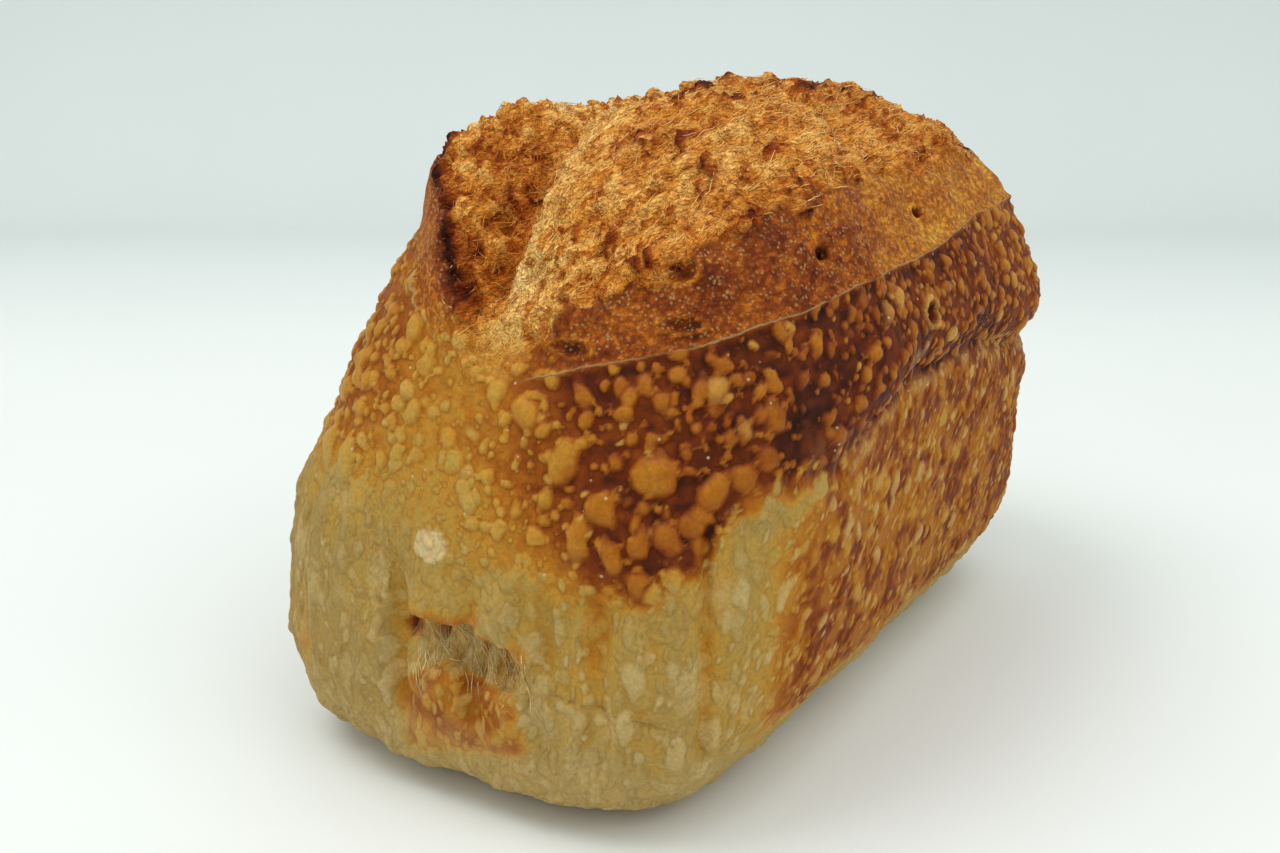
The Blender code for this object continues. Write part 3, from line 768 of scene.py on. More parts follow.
class Skin:
    """Regions, relief and colours of the loaf's surface, point by point.  A tone says how far the
    crust is baked.  The last number of each noise is its seed."""

    def __init__(self, plain, points, normals):
        self.plain = plain
        self.points = points
        self.normals = normals
        self.height = points[:, 2]
        self.turn = np.degrees(np.arctan2(plain[:, 1], plain[:, 0]))
        self.steep = np.sqrt(np.maximum(1.0 - normals[:, 2] ** 2, 0.09))
        self.ragged = 1.6 * noise(points, 6.0, 41) + 0.9 * noise(points, 2.2, 42)
        self.find_regions()
        self.field = np.full(len(points), -1.0)
        for name in ("out", "tone", "gloss", "top_tone", "top_flour", "flour", "crumb"):
            setattr(self, name, np.zeros(len(points)))

    def frayed(self, reach):
        """The surface's points, pushed about a little, for ragged outlines."""
        return self.points + reach * self.ragged[:, None]

    def blend_tones(self, tone, share):
        """Bring the tones of the crust and of its blisters' tops to one tone, by a share."""
        self.tone = mix(self.tone, tone, share)
        self.top_tone = mix(self.top_tone, tone, share)

    def find_regions(self):
        """Masks of the burst, the ear's wall, the band, the ear's strip, the crust and the wall."""
        plain = self.plain
        height = plain[:, 2]
        along = plain[:, 1]
        over = CREST_SHIFT * smooth_step(-93.0, -84.0, along) * smooth_step(-30.0, -55.0, along)
        self.from_crest = line_offset(EAR_CREST, plain) - over + 0.5 * self.ragged
        self.from_valley = line_offset(VALLEY, plain)
        above_seam = (height - curve(SEAM, self.turn)) / self.steep
        scales = flakes(plain / EDGE_SCALE_STRETCH, EDGE_SCALE_SIZE, 43)[1]
        above_torn = (height - curve(TORN_EDGE, self.turn)) / self.steep
        above_torn = above_torn + 1.6 * self.ragged + EDGE_SCALE_REACH * (scales - 0.5)
        in_cut = cut_strength(plain) * smooth_step(84.0, 90.0, height)
        right_of_ear = smooth_step(-0.4, 0.4, self.from_crest)
        self.above_seam = above_seam
        self.above_torn = above_torn
        self.opened = in_cut * right_of_ear * smooth_step(-0.3, 0.3, above_seam)
        self.torn = self.opened * smooth_step(-0.5, 0.5, above_torn)
        self.band = self.opened * (1.0 - smooth_step(-0.5, 0.5, above_torn))
        strip_width = smooth_step(-94.0, -84.0, along) * smooth_step(88.0, 70.0, along)
        self.strip_edge = self.from_crest + STRIP_WIDTH * strip_width + over
        self.strip = (in_cut * (1.0 - right_of_ear)
                      * smooth_step(-0.5, 0.5, self.strip_edge + 0.3 * self.ragged))
        self.crust = 1.0 - np.maximum(self.opened, self.strip)
        self.ear_wall = self.torn * smooth_step(2.0, -3.0, self.from_valley)
        self.fibres = self.torn * (1.0 - self.ear_wall)
        side = smooth_step(-82.0, -70.0, along) * smooth_step(92.0, 74.0, along)
        self.wall = self.crust * side * smooth_step(1.0, -3.0, above_crease(plain))

    def bake(self, lower_line=0.0):
        """Tone of the crust outside the cut, with the pale line moved down by so much."""
        turn, height, points = self.turn, self.height, self.points
        broad = noise(points, 22.0, 61)
        fine = noise(points, 5.0, 62)
        line = curve(PALE_LINE, turn) + 4.0 * broad + 3.0 * fine + 1.5 * noise(points, 2.2, 66)
        rise = curve(BAKE_RISE, turn)
        share = smooth_step(-0.3, 1.0, (height - line + lower_line) / rise)
        end = mix(END_PALE_TONE, curve(BAKE_TOP, turn) + 0.06 * fine, share) + 0.05 * broad
        wall_points = stretched(points, WALL_SLANT, 1.2)
        blotch = (0.7 * noise(wall_points, 5.0, 63) + 0.6 * noise(wall_points, 2.6, 64)
                  + 0.5 * noise(wall_points, 1.5, 65))
        middle = (smooth_step(6.0, 20.0, height) * smooth_step(-80.0, -58.0, points[:, 1])
                  * smooth_step(98.0, 76.0, points[:, 1]))
        wall = WALL_FOOT_TONE + WALL_MIDDLE_TONE * middle
        wall += WALL_BLOTCH_TONE * middle * smooth_step(-0.40, 0.50, blotch + 0.35 * broad)
        tone = mix(end, wall, self.wall)
        for place, radius, darker in DARK_SPOTS:
            tone += darker * near(points, place, radius)
        return tone

    def patch_front(self):
        """Brown flaky patch under the tear, the orange lip over it, the pad in it and painted shade
        in its hollows.
        """
        across, along, height = self.points.T
        front = smooth_step(-88.0, -94.0, along)
        wander = 0.8 * self.ragged
        patch = (window(*PATCH_ACROSS, across + wander) * front
                 * window(*PATCH_HEIGHTS, height + wander - PATCH_SLANT * across))
        mottle = noise(self.points, 3.4, 71) + 0.5 * noise(self.points, 1.7, 74)
        self.tone = mix(self.tone, PATCH_TONE + 0.18 * mottle, 0.9 * patch)
        self.top_tone = mix(self.top_tone, PATCH_TOP_TONE + 0.16 * mottle, 0.9 * patch)
        self.top_flour *= 1.0 - 0.5 * patch
        wide = window(TEAR_LEFT - 2.0, TEAR_RIGHT + 3.0, 6.0, across)
        lip_line = LIP_HEIGHT - 2.0 - TEAR_LIP_SLANT * across
        lip = wide * front * ridge(height - lip_line + 0.5 * wander, TEAR_LIP_WIDTH)
        lip *= smooth_step(-14.0, -2.0, across)
        lens = np.sqrt(np.clip(1.0 - ((across - PAD_MIDDLE) / PAD_REACH) ** 2, 0.0, 1.0))
        from_middle = np.abs(height - TEAR_HEIGHT - PAD_RISE + PAD_SLANT * across)
        from_middle = from_middle + 0.5 * self.ragged
        pad = front * smooth_step(0.6, -0.8, from_middle - PAD_HALF_HEIGHT * lens)
        strands = noise(stretched(self.points, PAD_LEAN, 4.0), 1.6, 72)
        self.out += pad * (0.7 * strands - 0.9)
        hollow = np.zeros(len(self.points))
        for place, reach, strength in TEAR_HOLLOWS:
            hollow = np.maximum(hollow, strength * near(self.points, place, reach))
        self.out -= HOLLOW_DEPTH * hollow
        self.pad = pad * (1.0 - hollow)
        self.blend_tones(0.16 - 0.14 * strands, pad)
        self.blend_tones(LIP_TONE, 0.9 * lip)
        # Painted shade: the tear's hollows turn near black
        self.blend_tones(HOLLOW_SHADE_TONE, 0.95 * smooth_step(0.10, 0.5, hollow))
        self.flour = mix(self.flour, 0.30 + 0.30 * strands, pad * (1.0 - lip) * (1.0 - hollow))
        self.out += 0.5 * lip + 0.9 * patch * noise(self.points, 3.4, 73)

    def raise_blisters(self):
        """Blisters of three sizes over the crust, with paler tops, painted light on each dome's
        middle, and dark gaps between them.
        """
        points, height, turn = self.points, self.height, self.turn
        warp = np.stack([noise(points, 4.5, seed) + 0.45 * noise(points, 2.1, seed + 100)
                         for seed in (81, 82, 83)], axis=-1)
        above_pale = height - curve(PALE_LINE, turn)
        upper = smooth_step(-6.0, 16.0, above_pale) * self.crust * (1.0 - self.wall)
        lower = self.crust * (1.0 - upper) * (1.0 - self.wall)
        quiet = 1.0 - 0.6 * window(-101.0, -84.0, 6.0, turn) * window(52.0, 96.0, 8.0, height)
        slanted = stretched(points, WALL_SLANT, WALL_STRETCH)
        layers = ((upper * quiet, points, 1.0, SHOULDER_BLISTERS, 101),
                  (lower, stretched(points, UP, FRONT_STRETCH), 0.55, FRONT_BLISTERS, 111),
                  (self.wall, slanted, 0.65, WALL_BLISTERS, 121))
        own = np.zeros(len(points))
        rise = np.zeros(len(points))
        for mask, place, strength, kinds, seed in layers:
            at = mask > 0.05
            local = place[at] + BLISTER_WARP * warp[at]
            first = np.full(at.sum(), NO_BLISTER)
            second = first.copy()
            size = np.ones(at.sum())
            number = np.zeros(at.sum())
            for step, blisters in enumerate(kinds):
                inside, nexts, radius, numbers = bubbles(local, *blisters, seed + step)
                deeper = inside > first
                second = np.where(deeper, np.maximum(first, nexts), np.maximum(second, inside))
                number = np.where(deeper, numbers, number)
                size = np.where(deeper, radius, size)
                first = np.maximum(first, inside)
            inside = np.minimum(first, CREASE_BETWEEN + first - second)
            inside = inside - 1.2 * (1.0 - smooth_step(0.05, 0.6, mask[at]))
            field = inside / (FIELD_SHARE * size + FIELD_EDGE)
            deeper = field > self.field[at]
            self.field[at] = np.where(deeper, field, self.field[at])
            own[at] = np.where(deeper, number, own[at])
            rise[at] = np.where(deeper, strength * mask[at] * np.maximum(inside, 0.0), rise[at])
        for place, radius, tall, paleness in SINGLE_BLISTERS:
            away = points + SINGLE_WARP * warp
            away = away - away[np.argmin(np.linalg.norm(points - place, axis=1))]
            away[:, 2] = away[:, 2] / tall
            distance = np.linalg.norm(away, axis=1)
            at = distance < radius
            inside = (radius ** 2 - distance[at] ** 2) / (2.0 * radius)
            field = inside / (FIELD_SHARE * radius + FIELD_EDGE)
            deeper = field > self.field[at]
            self.field[at] = np.where(deeper, field, self.field[at])
            own[at] = np.where(deeper, paleness, own[at])
            rise[at] = np.maximum(rise[at], inside)
        self.out += DOME_TOP * (1.0 - np.exp(-rise * DOME_RISE / DOME_TOP)) - GAP_DEPTH * upper
        self.field = np.clip(self.field, -1.0, 1.0)
        # Depth inside a blister: the tops get painted light towards each dome's middle
        inner = smooth_step(-0.1, 1.0, self.field)
        self.tone = self.bake()
        baked_top = self.bake(-5.0 * (own - 0.5) - 1.0)
        # Paler tops: each blister's own paleness, and painted light that grows towards the dome's
        # middle on the shoulder and the walls
        lighter = upper * (0.01 + 0.24 * inner) + lower * 0.05 + self.wall * (0.03 + 0.16 * inner)
        lighter += (upper * 0.16 + self.wall * 0.26) * (own - 0.5)
        lighter *= 0.5 + 0.5 * smooth_step(0.30, 0.62, self.tone)
        pale = smooth_step(PALE_BLISTERS - 0.04, PALE_BLISTERS, own)
        lighter += 0.10 * pale * (upper + 0.4 * self.wall)
        most = mix(*MOST_LIGHTER, smooth_step(0.35, 0.70, baked_top))
        self.top_tone = baked_top - np.minimum(lighter, most * baked_top)
        self.top_tone += 0.06 * noise(points, 1.9, 84)
        floury = 0.42 * lower * smooth_step(0.1, 0.9, own) * smooth_step(4.0, -12.0, above_pale)
        floury += 0.34 * self.wall * smooth_step(0.5, 1.0, own)
        self.top_flour = floury + 0.08 * pale * upper
        self.tone += 0.07 * upper + 0.03 * lower + 0.05 * self.wall
        self.gloss = upper

    def tear_crumb(self):
        """Torn crumb: fibres along the loaf, flakes with burnt edges, the shaggy ear wall, and
        painted shade in the valley beside it.
        """
        points = self.points
        at = self.torn > 0.02
        local = points[at]
        warp = np.stack([noise(local, 4.0, seed) for seed in (121, 122, 123)], axis=-1)
        lengthwise = local / STRAND_STRETCH
        strands = noise(lengthwise + 0.35 * warp, 1.5, 124)
        cords = 1.0 - 2.0 * np.abs(noise(lengthwise + 0.7 * warp, 2.6, 125))
        way, own = flakes(local / FLAKE_STRETCH + 1.1 * warp, FLAKE_SIZE, 126)
        lift = way[:, :2] @ FLAKE_SLANT * smooth_step(0.35, 0.65, own)
        way, own = flakes(local / SMALL_FLAKE_STRETCH + 0.8 * warp, SMALL_FLAKE_SIZE, 127)
        small_lift = way[:, :2] @ SMALL_FLAKE_SLANT * smooth_step(0.2, 0.5, own)
        shag = noise((local + 0.6 * warp) / (1.0, 1.0, 2.2), 1.8, 128)
        coarse = noise(local + 0.8 * warp, 5.0, 129)
        fibres, wall = self.fibres[at], self.ear_wall[at]
        from_valley = self.from_valley[at]
        mid = smooth_step(0.0, 16.0, from_valley)
        out = STRAND_HEIGHT * strands + CORD_HEIGHT * cords + 0.5 * mid * coarse
        out += (FLAKE_LIFT * lift + SMALL_FLAKE_LIFT * small_lift) * (0.4 + 0.6 * mid)
        wall_out = SHAG_HEIGHT * shag + 1.7 * coarse + 1.6 * small_lift + 0.4 * cords
        # Dip along the valley, lowered and darkened with painted shade
        valley_dip_and_shade = ridge(from_valley + 0.6, 2.6) * smooth_step(-92.0, -80.0, local[:, 1])
        valley_dip_and_shade *= smooth_step(-0.4, 0.4, noise(local, 7.0, 131))
        self.out[at] += fibres * out + wall * wall_out - VALLEY_SUNK * valley_dip_and_shade
        torch = smooth_step(0.15, 0.45, lift) + 0.8 * smooth_step(0.22, 0.50, small_lift)
        torch *= smooth_step(-0.45, 0.35, noise(local, 9.0, 132))
        broad = noise(local, 16.0, 130)
        start = smooth_step(-72.0, -88.0, local[:, 1])
        tone = CRUMB_TONE + 0.12 * mid + 0.08 * broad + 0.07 * coarse - 0.08 * strands
        tone += TORCHED_TONE * torch * mid - 0.13 * start
        tone += 0.10 * smooth_step(14.0, 0.0, self.above_torn[at])
        wall_tone = EAR_WALL_TONE - 0.20 * coarse - 0.14 * shag
        wall_tone += 0.26 * smooth_step(0.1, 0.4, small_lift)
        wall_tone += 0.28 * smooth_step(5.0, 0.0, self.from_crest[at] + 1.5 * coarse)
        wall_tone -= 0.16 * smooth_step(-55.0, -25.0, local[:, 1])
        wall_tone = mix(wall_tone, 0.24, smooth_step(-4.0, 0.0, from_valley))
        # Painted shade darkens the valley's dip and keeps its crumb from looking pale
        tone = mix(tone, wall_tone, wall) + 0.22 * valley_dip_and_shade
        self.tone[at] = mix(self.tone[at], tone, self.torn[at])
        pale = 0.5 * smooth_step(0.50, 0.10, tone) * smooth_step(-0.2, 0.5, strands + 0.4 * cords)
        pale *= (1.0 - wall) * (1.0 - 0.45 * mid) * (1.0 - 0.7 * valley_dip_and_shade)
        self.crumb[at] = np.maximum(self.crumb[at], pale * self.torn[at])

    def finish_band(self):
        """Smooth speckled band above the seam, the ear's outer strip and its burnt crest."""
        points = self.points
        lumps = noise(points / (1.0, 1.6, 1.0), 3.0, 141)
        fine = noise(points, 1.5, 142)
        broad = noise(points, 15.0, 143)
        to_back = smooth_step(-60.0, 10.0, points[:, 1])
        tone = BAND_TONE - BAND_PALER_BACK * to_back
        tone += 0.08 * broad + 0.12 * lumps + 0.08 * fine
        self.tone = mix(self.tone, tone, self.band)
        self.out += self.band * (0.45 * lumps + 0.25 * fine)
        strip = STRIP_TONE + 0.06 * lumps + 0.16 * smooth_step(-3.0, 0.0, self.from_crest)
        self.tone = mix(self.tone, strip, self.strip)
        self.out += self.strip * (0.12 * fine + 0.2 * lumps)
        cut = cut_strength(self.plain)
        burnt = ridge(self.from_crest - 0.6, 1.3) * cut * smooth_step(95.0, 104.0, self.height)
        burnt = np.clip(burnt * (0.85 + 0.35 * lumps + 0.35 * fine), 0.0, 1.0)
        self.tone = mix(self.tone, BURNT_TONE, burnt)
        self.crumb *= 1.0 - burnt
        crest = ridge(self.from_crest - 0.6, 1.5) * cut * smooth_step(90.0, 104.0, self.height)
        self.out += crest * (0.8 * noise(points, 2.6, 144) + 1.1 * noise(points, 1.4, 145) + 0.4)

    def draw_seams(self):
        """Thin pale ridges where the blade cut: right of the cut, and left of the ear."""
        wobble = 0.5 * noise(self.points, 7.0, 151) + 0.15 * self.ragged
        across, along = self.plain[:, 0], self.plain[:, 1]
        from_seam = self.above_seam + wobble
        from_ear_seam = self.strip_edge + 0.6 * wobble
        front = smooth_step(-83.0, -80.0, self.turn) * smooth_step(88.0, 70.0, self.turn)
        ear = (cut_strength(self.plain) * smooth_step(88.0, 92.0, self.height)
               * smooth_step(60.0, 20.0, along))
        broken = smooth_step(-0.6, 0.1, noise(self.points, 5.0, 152))
        line = ridge(from_seam, 0.75) * front * (across > 8.0)
        ear_line = ridge(from_ear_seam, 0.7) * ear * (across < 6.0)
        both = np.maximum(line, ear_line) * (0.55 + 0.45 * broken)
        self.out += SEAM_HEIGHT * both
        self.tone = mix(self.tone, SEAM_TONE, 0.35 * both)
        nearest = np.where(across > 7.0, from_seam, from_ear_seam)
        self.seam_field = np.clip(nearest, -SEAM_REACH, SEAM_REACH)
        self.seam_presence = np.where(across > 7.0, front, ear) * (0.35 + 0.65 * broken)
        self.tone += 0.06 * ridge(from_seam + 1.8, 1.1) * front * (across > 8.0)

    def mark_crease(self):
        """Crease under the spilled dough, darker crust with painted shade under the overhang, and
        pale flaky edges.
        """
        above = above_crease(self.plain) + 0.7 * self.ragged
        strength = spill_strength(self.plain) * (1.0 - self.opened)
        dark = ridge(above - 0.6, 1.5) * strength
        broken = smooth_step(-0.35, 0.35, noise(stretched(self.points, WALL_SLANT, 2.0), 3.2, 161))
        self.out -= 0.8 * dark * (0.4 + 0.6 * broken)
        # Darker crust in the crease, partly painted shade under the spilled dough
        self.tone += 0.34 * dark * (0.3 + 0.7 * broken)
        edge = ridge(above + 2.2, 1.3) * strength * (1.0 - broken)
        self.out += 0.45 * edge
        self.tone -= 0.15 * edge
        self.flour = np.maximum(self.flour, 0.35 * edge)
        self.tone += 0.05 * window(0.0, 9.0, 3.0, above) * strength

    def place_features(self):
        """Holes and pits in the band, darkened inside with painted shade, a broken blister and two
        pale patches.
        """
        points = self.points
        for place, radius in HOLES:
            reach = (radius, radius * 1.6, radius)
            inside = near(points, place, reach)
            rim = near(points, place, np.array(reach) * 1.8) - inside
            self.out += 0.25 * rim - HOLE_DEPTH * smooth_step(0.0, 0.6, inside)
            # Painted shade: the holes turn near black inside
            self.tone = mix(self.tone, HOLE_SHADE_TONE, smooth_step(0.05, 0.4, inside))
        for place, reach in PITS:
            inside = near(points, place, reach)
            around = near(self.frayed(0.35), place, np.array(reach) * 1.3)
            rim = window(0.0, 0.42, 0.16, around)
            self.out += 0.6 * rim - PIT_DEPTH * inside
            # Painted shade: the pits a little darker inside
            self.tone = mix(self.tone + 0.10 * inside, 0.36, 0.5 * rim)
        inside = near(self.frayed(0.9), BROKEN_BLISTER, BROKEN_REACH)
        rim = window(0.02, 0.60, 0.2, near(self.frayed(0.9), BROKEN_BLISTER, BROKEN_RIM_REACH))
        self.out += 0.9 * rim - BROKEN_DEPTH * inside
        pale_rim = rim * (1.0 - smooth_step(0.0, 0.2, inside))
        self.flour = np.maximum(self.flour, 0.20 * pale_rim)
        self.blend_tones(0.24, 0.8 * pale_rim)
        self.blend_tones(BROKEN_TONE, 0.9 * smooth_step(0.05, 0.4, inside))
        patch = near(self.frayed(0.7), FLOURY_PATCH, FLOURY_REACH)
        patch = smooth_step(0.05, 0.45, patch) * smooth_step(-0.3, 0.3, noise(points, 1.7, 183))
        self.flour = np.maximum(self.flour, 0.28 * patch)
        flake = near(self.frayed(0.7), PALE_FLAKE, PALE_FLAKE_REACH)
        self.out += 0.5 * smooth_step(0.1, 0.3, flake)
        self.flour = np.maximum(self.flour, 0.85 * smooth_step(0.12, 0.3, flake))

    def wrinkle(self):
        """Soft upright wrinkles of the pale ends and small unevenness all over, with painted light
        on the wrinkles' ridges and painted shade in their hollows and in the folds.
        """
        points = self.points
        across, along, height = points.T
        pale = smooth_step(14.0, -6.0, height - curve(PALE_LINE, self.turn)) * self.crust
        upright = stretched(points, WRINKLE_LEAN, WRINKLE_STRETCH)
        soft = noise(upright, 5.0, 171) + 0.5 * noise(upright, 2.4, 172)
        ends = pale * (1.0 - self.wall)
        self.out += WRINKLE_HEIGHT * ends * soft + 0.14 * self.crust * noise(points, 1.8, 173)
        golden = smooth_step(0.0, 0.8, noise(upright, 2.6, 176) + 0.6 * noise(points, 12.0, 177))
        # Paler on the wrinkles' ridges and darker in their hollows, which is painted light and
        # shade; the golden patches and the noise are the crust's own
        change = ends * (-0.15 * soft + 0.05 * noise(points, 9.0, 174) + 0.10 * golden)
        wandering = across + 0.4 * self.ragged
        folds = sum(ridge(wandering - place, UPRIGHT_FOLD_WIDTH) for place in FOLDS)
        folds *= ends * smooth_step(*FRONT_FACE, along) * window(*FOLD_SPAN, FOLD_FADE, height)
        self.out -= UPRIGHT_FOLD_DEPTH * folds
        # Painted shade in the upright folds
        change += 0.15 * folds
        speckle = (0.10 - 0.05 * ends) * self.crust * (1.0 - self.wall) * noise(points, 1.6, 179)
        self.tone += change + speckle
        self.top_tone += 0.7 * change
        chalky = (smooth_step(-0.1, 0.7, noise(points, 7.0, 178))
                  * smooth_step(-0.2, 0.5, noise(upright, 2.6, 175)))
        self.flour = np.maximum(self.flour, 0.35 * ends * chalky)
        corner = (self.turn - CORNER_FOLD_TURN) * CORNER_FOLD_SCALE + 0.5 * self.ragged
        span = window(*CORNER_FOLD_SPAN, CORNER_FOLD_FADE, height)
        fold = ridge(corner, CORNER_FOLD_WIDTH) * span
        self.out += 0.7 * ridge(corner + 4.2, 2.4) * span - CORNER_FOLD_DEPTH * fold
        # Painted shadow in the corner fold's groove
        self.tone += 0.10 * fold
        self.top_tone += 0.10 * fold
        foot = smooth_step(*FOOT_BAND, height + 1.6 * self.ragged) * self.crust
        self.tone = mix(self.tone, 0.04 + 0.06 * soft, 0.8 * foot)
        self.top_tone = mix(self.top_tone, 0.0, 0.8 * foot)
        self.flour = np.maximum(self.flour, 0.22 * foot)

    def finished(self):
        """Finished points: the relief fades to nothing at the level foot."""
        lift = self.out[:, None] * self.normals
        lift[:, 2] *= smooth_step(0.0, LEVEL_FOOT, self.plain[:, 2])
        lift[self.plain[:, 2] < BOTTOM_TOP] = 0.0
        return self.points + lift

    def colors(self):
        """Colour of every point and of a blister's top there, in linear light."""
        crumb = linear(CRUMB_COLOR) * (1.0 + 0.15 * noise(self.points, 3.0, 181))[:, None]
        flour = linear(FLOUR_COLOR)
        made = []
        for tone, floury in ((self.tone, self.flour),
                             (self.top_tone, np.maximum(self.flour, self.top_flour))):
            tone = np.clip(tone, 0.0, 1.0)
            color = mix(baked_color(tone), baked_color(tone, TORN_COLORS), self.torn[:, None])
            color = mix(color, crumb, np.clip(self.crumb, 0.0, 1.0)[:, None])
            made.append(mix(color, flour, np.clip(floury, 0.0, 1.0)[:, None]))
        base, tops = made
        brighter = 1.0 + 0.14 * self.gloss * smooth_step(0.62, 0.42, self.tone)
        return base, tops * brighter[:, None]


def add_colors(mesh, name, values):
    """Store four numbers for each point of a mesh."""
    attribute = mesh.color_attributes.new(name, "FLOAT_COLOR", "POINT")
    attribute.data.foreach_set("color", values.astype(np.float32).ravel())


def with_alpha(colors, alpha):
    """Colours with a fourth number, the same for all points or one for each."""
    return np.concatenate([colors, np.broadcast_to(alpha, len(colors))[:, None]], axis=1)


class Tree:
    """Short ways to add nodes to a material."""

    def __init__(self, name):
        self.material = bpy.data.materials.new(name)
        self.material.use_nodes = True
        self.tree = self.material.node_tree
        self.shader = self.tree.nodes["Principled BSDF"]

    def plug(self, socket, value):
        """Link an output to a socket, or set the socket to a plain value."""
        if isinstance(value, bpy.types.NodeSocket):
            self.tree.links.new(value, socket)
        else:
            socket.default_value = value

    def add(self, kind, inputs=(), **settings):
        """A new node with its settings and inputs."""
        made = self.tree.nodes.new(kind)
        for name, value in settings.items():
            setattr(made, name, value)
        for name, value in dict(inputs).items():
            self.plug(made.inputs[name], value)
        return made

    def attribute(self, name):
        """Numbers stored on the mesh's points."""
        return self.add("ShaderNodeAttribute", attribute_name=name)

    def math(self, operation, first, *others):
        """One operation on a row of values, from the first to the last."""
        for other in others or (0.0,):
            made = self.add("ShaderNodeMath", {0: first, 1: other}, operation=operation)
            first = made.outputs[0]
        return first

    def times(self, *values):
        """Product of several values."""
        return self.math("MULTIPLY", *values)

    def total(self, *values):
        """Sum of several values."""
        return self.math("ADD", *values)

    def opposite(self, value):
        """1 less a value."""
        return self.math("SUBTRACT", 1.0, value)

    def between(self, value, low, high, start=0.0, end=1.0, kind="LINEAR"):
        """A value brought from one range to another, and kept inside it."""
        made = self.add("ShaderNodeMapRange", {"Value": value, "From Min": low, "From Max": high,
                                               "To Min": start, "To Max": end},
                        interpolation_type=kind)
        return made.outputs[0]

    def shaded(self, color, shade):
        """A colour made lighter or darker."""
        grey = self.add("ShaderNodeCombineColor", {"Red": shade, "Green": shade, "Blue": shade})
        return self.color_mix(1.0, color, grey.outputs[0], "MULTIPLY")

    def warped(self, place, size, reach):
        """A place pushed about by noise with lumps of a size, as far as a reach."""
        push = self.add("ShaderNodeTexNoise", {"Vector": self.in_cells(place, size),
                                               "Scale": 1.0, "Detail": 1.0})
        middle = self.add("ShaderNodeVectorMath", {0: push.outputs["Color"],
                                                   1: (0.5, 0.5, 0.5)}, operation="SUBTRACT")
        scaled = self.add("ShaderNodeVectorMath", {0: middle.outputs[0],
                                                   "Scale": reach * MM}, operation="SCALE")
        return self.add("ShaderNodeVectorMath", {0: place, 1: scaled.outputs[0]},
                        operation="ADD").outputs[0]

    def color_mix(self, share, first, second, blend="MIX"):
        """The first colour with a share of the second mixed or blended in."""
        made = self.tree.nodes.new("ShaderNodeMix")
        made.data_type = "RGBA"
        made.blend_type = blend
        self.plug(made.inputs[0], share)
        self.plug(made.inputs[6], first)
        self.plug(made.inputs[7], second)
        return made.outputs[2]

    def tinted(self, color, factors, *shares):
        """A colour multiplied by three factors, by the product of the shares."""
        product = self.color_mix(1.0, color, (*factors, 1.0), "MULTIPLY")
        return self.color_mix(self.times(*shares), color, product)

    def dotted(self, color, paint, *shares):
        """A colour painted over with another, by the product of the shares."""
        return self.color_mix(self.times(*shares), color, (*paint, 1.0))

    def noise(self, place, detail=3.0, roughness=0.55):
        """Cloudy noise between 0 and 1."""
        made = self.add("ShaderNodeTexNoise", {"Vector": place, "Scale": 1.0, "Detail": detail,
                                               "Roughness": roughness})
        return made.outputs[0]

    def lines(self, place, width):
        """Fine wavy lines, where a noise passes its middle value."""
        from_middle = self.math("ABSOLUTE", self.math("SUBTRACT", self.noise(place, 1.0), 0.5))
        return self.between(from_middle, width, width * 0.3)

    def in_cells(self, place, size, shape=(1.0, 1.0, 1.0)):
        """Coordinates counted in cells of a size in millimetres."""
        scale = tuple(1.0 / (size * MM * s) for s in shape)
        return self.add("ShaderNodeMapping", {"Vector": place, "Scale": scale}).outputs[0]

    def finish(self, color, roughness, specular, relief=None, strength=0.0, depth=0.0):
        """Plug colour, roughness and relief into the shader, and hand over the material."""
        self.plug(self.shader.inputs["Base Color"], color)
        self.plug(self.shader.inputs["Roughness"], roughness)
        self.shader.inputs["Specular IOR Level"].default_value = specular
        if relief:
            bump = self.add("ShaderNodeBump", {"Height": relief, "Strength": strength,
                                               "Distance": depth * MM})
            self.plug(self.shader.inputs["Normal"], bump.outputs[0])
        return self.material

    def spots(self, place, size, radius, share):
        """Round spots: 1 inside them."""
        cells = self.add("ShaderNodeTexVoronoi", {"Vector": self.in_cells(place, size),
                                                  "Scale": 1.0})
        inside = self.between(cells.outputs["Distance"], radius, radius * 0.4)
        pick = self.add("ShaderNodeSeparateColor", {"Color": cells.outputs["Color"]})
        chosen = self.between(pick.outputs[0], 1.0 - share, 1.0 - share + 0.02)
        return self.times(inside, chosen)


# How strongly the pieces reflect, and what the fibres, threads, flecks and specks of the crust
# multiply its colour by
CRUST_SPECULAR = 0.12
STAGE_SPECULAR = 0.1
RIM_TINT = (0.62, 0.45, 0.32)
WARM_TINT = (1.06, 0.94, 0.76)
FLECK_TINT = (0.56, 0.30, 0.14)
DARK_FIBRE_TINT = (0.62, 0.42, 0.24)
PALE_FIBRE_TINT = (1.40, 1.46, 1.50)
DARK_THREAD_TINT = (0.50, 0.28, 0.14)
PALE_THREAD_TINT = (1.50, 1.65, 1.90)
HANGING_TINT = (0.50, 0.42, 0.32)
PALE_MOTTLE_TINT = (1.85, 2.15, 2.20)
DARK_MOTTLE_TINT = (0.58, 0.42, 0.32)

# Colours of the band's dots, the white dots and the seams, in linear light
DOT_COLOR = (0.62, 0.36, 0.13)
WHITE_DOT_COLOR = (0.68, 0.54, 0.34)
SEAM_COLOR = (0.50, 0.30, 0.13)
THREAD_WIDTH = 0.034


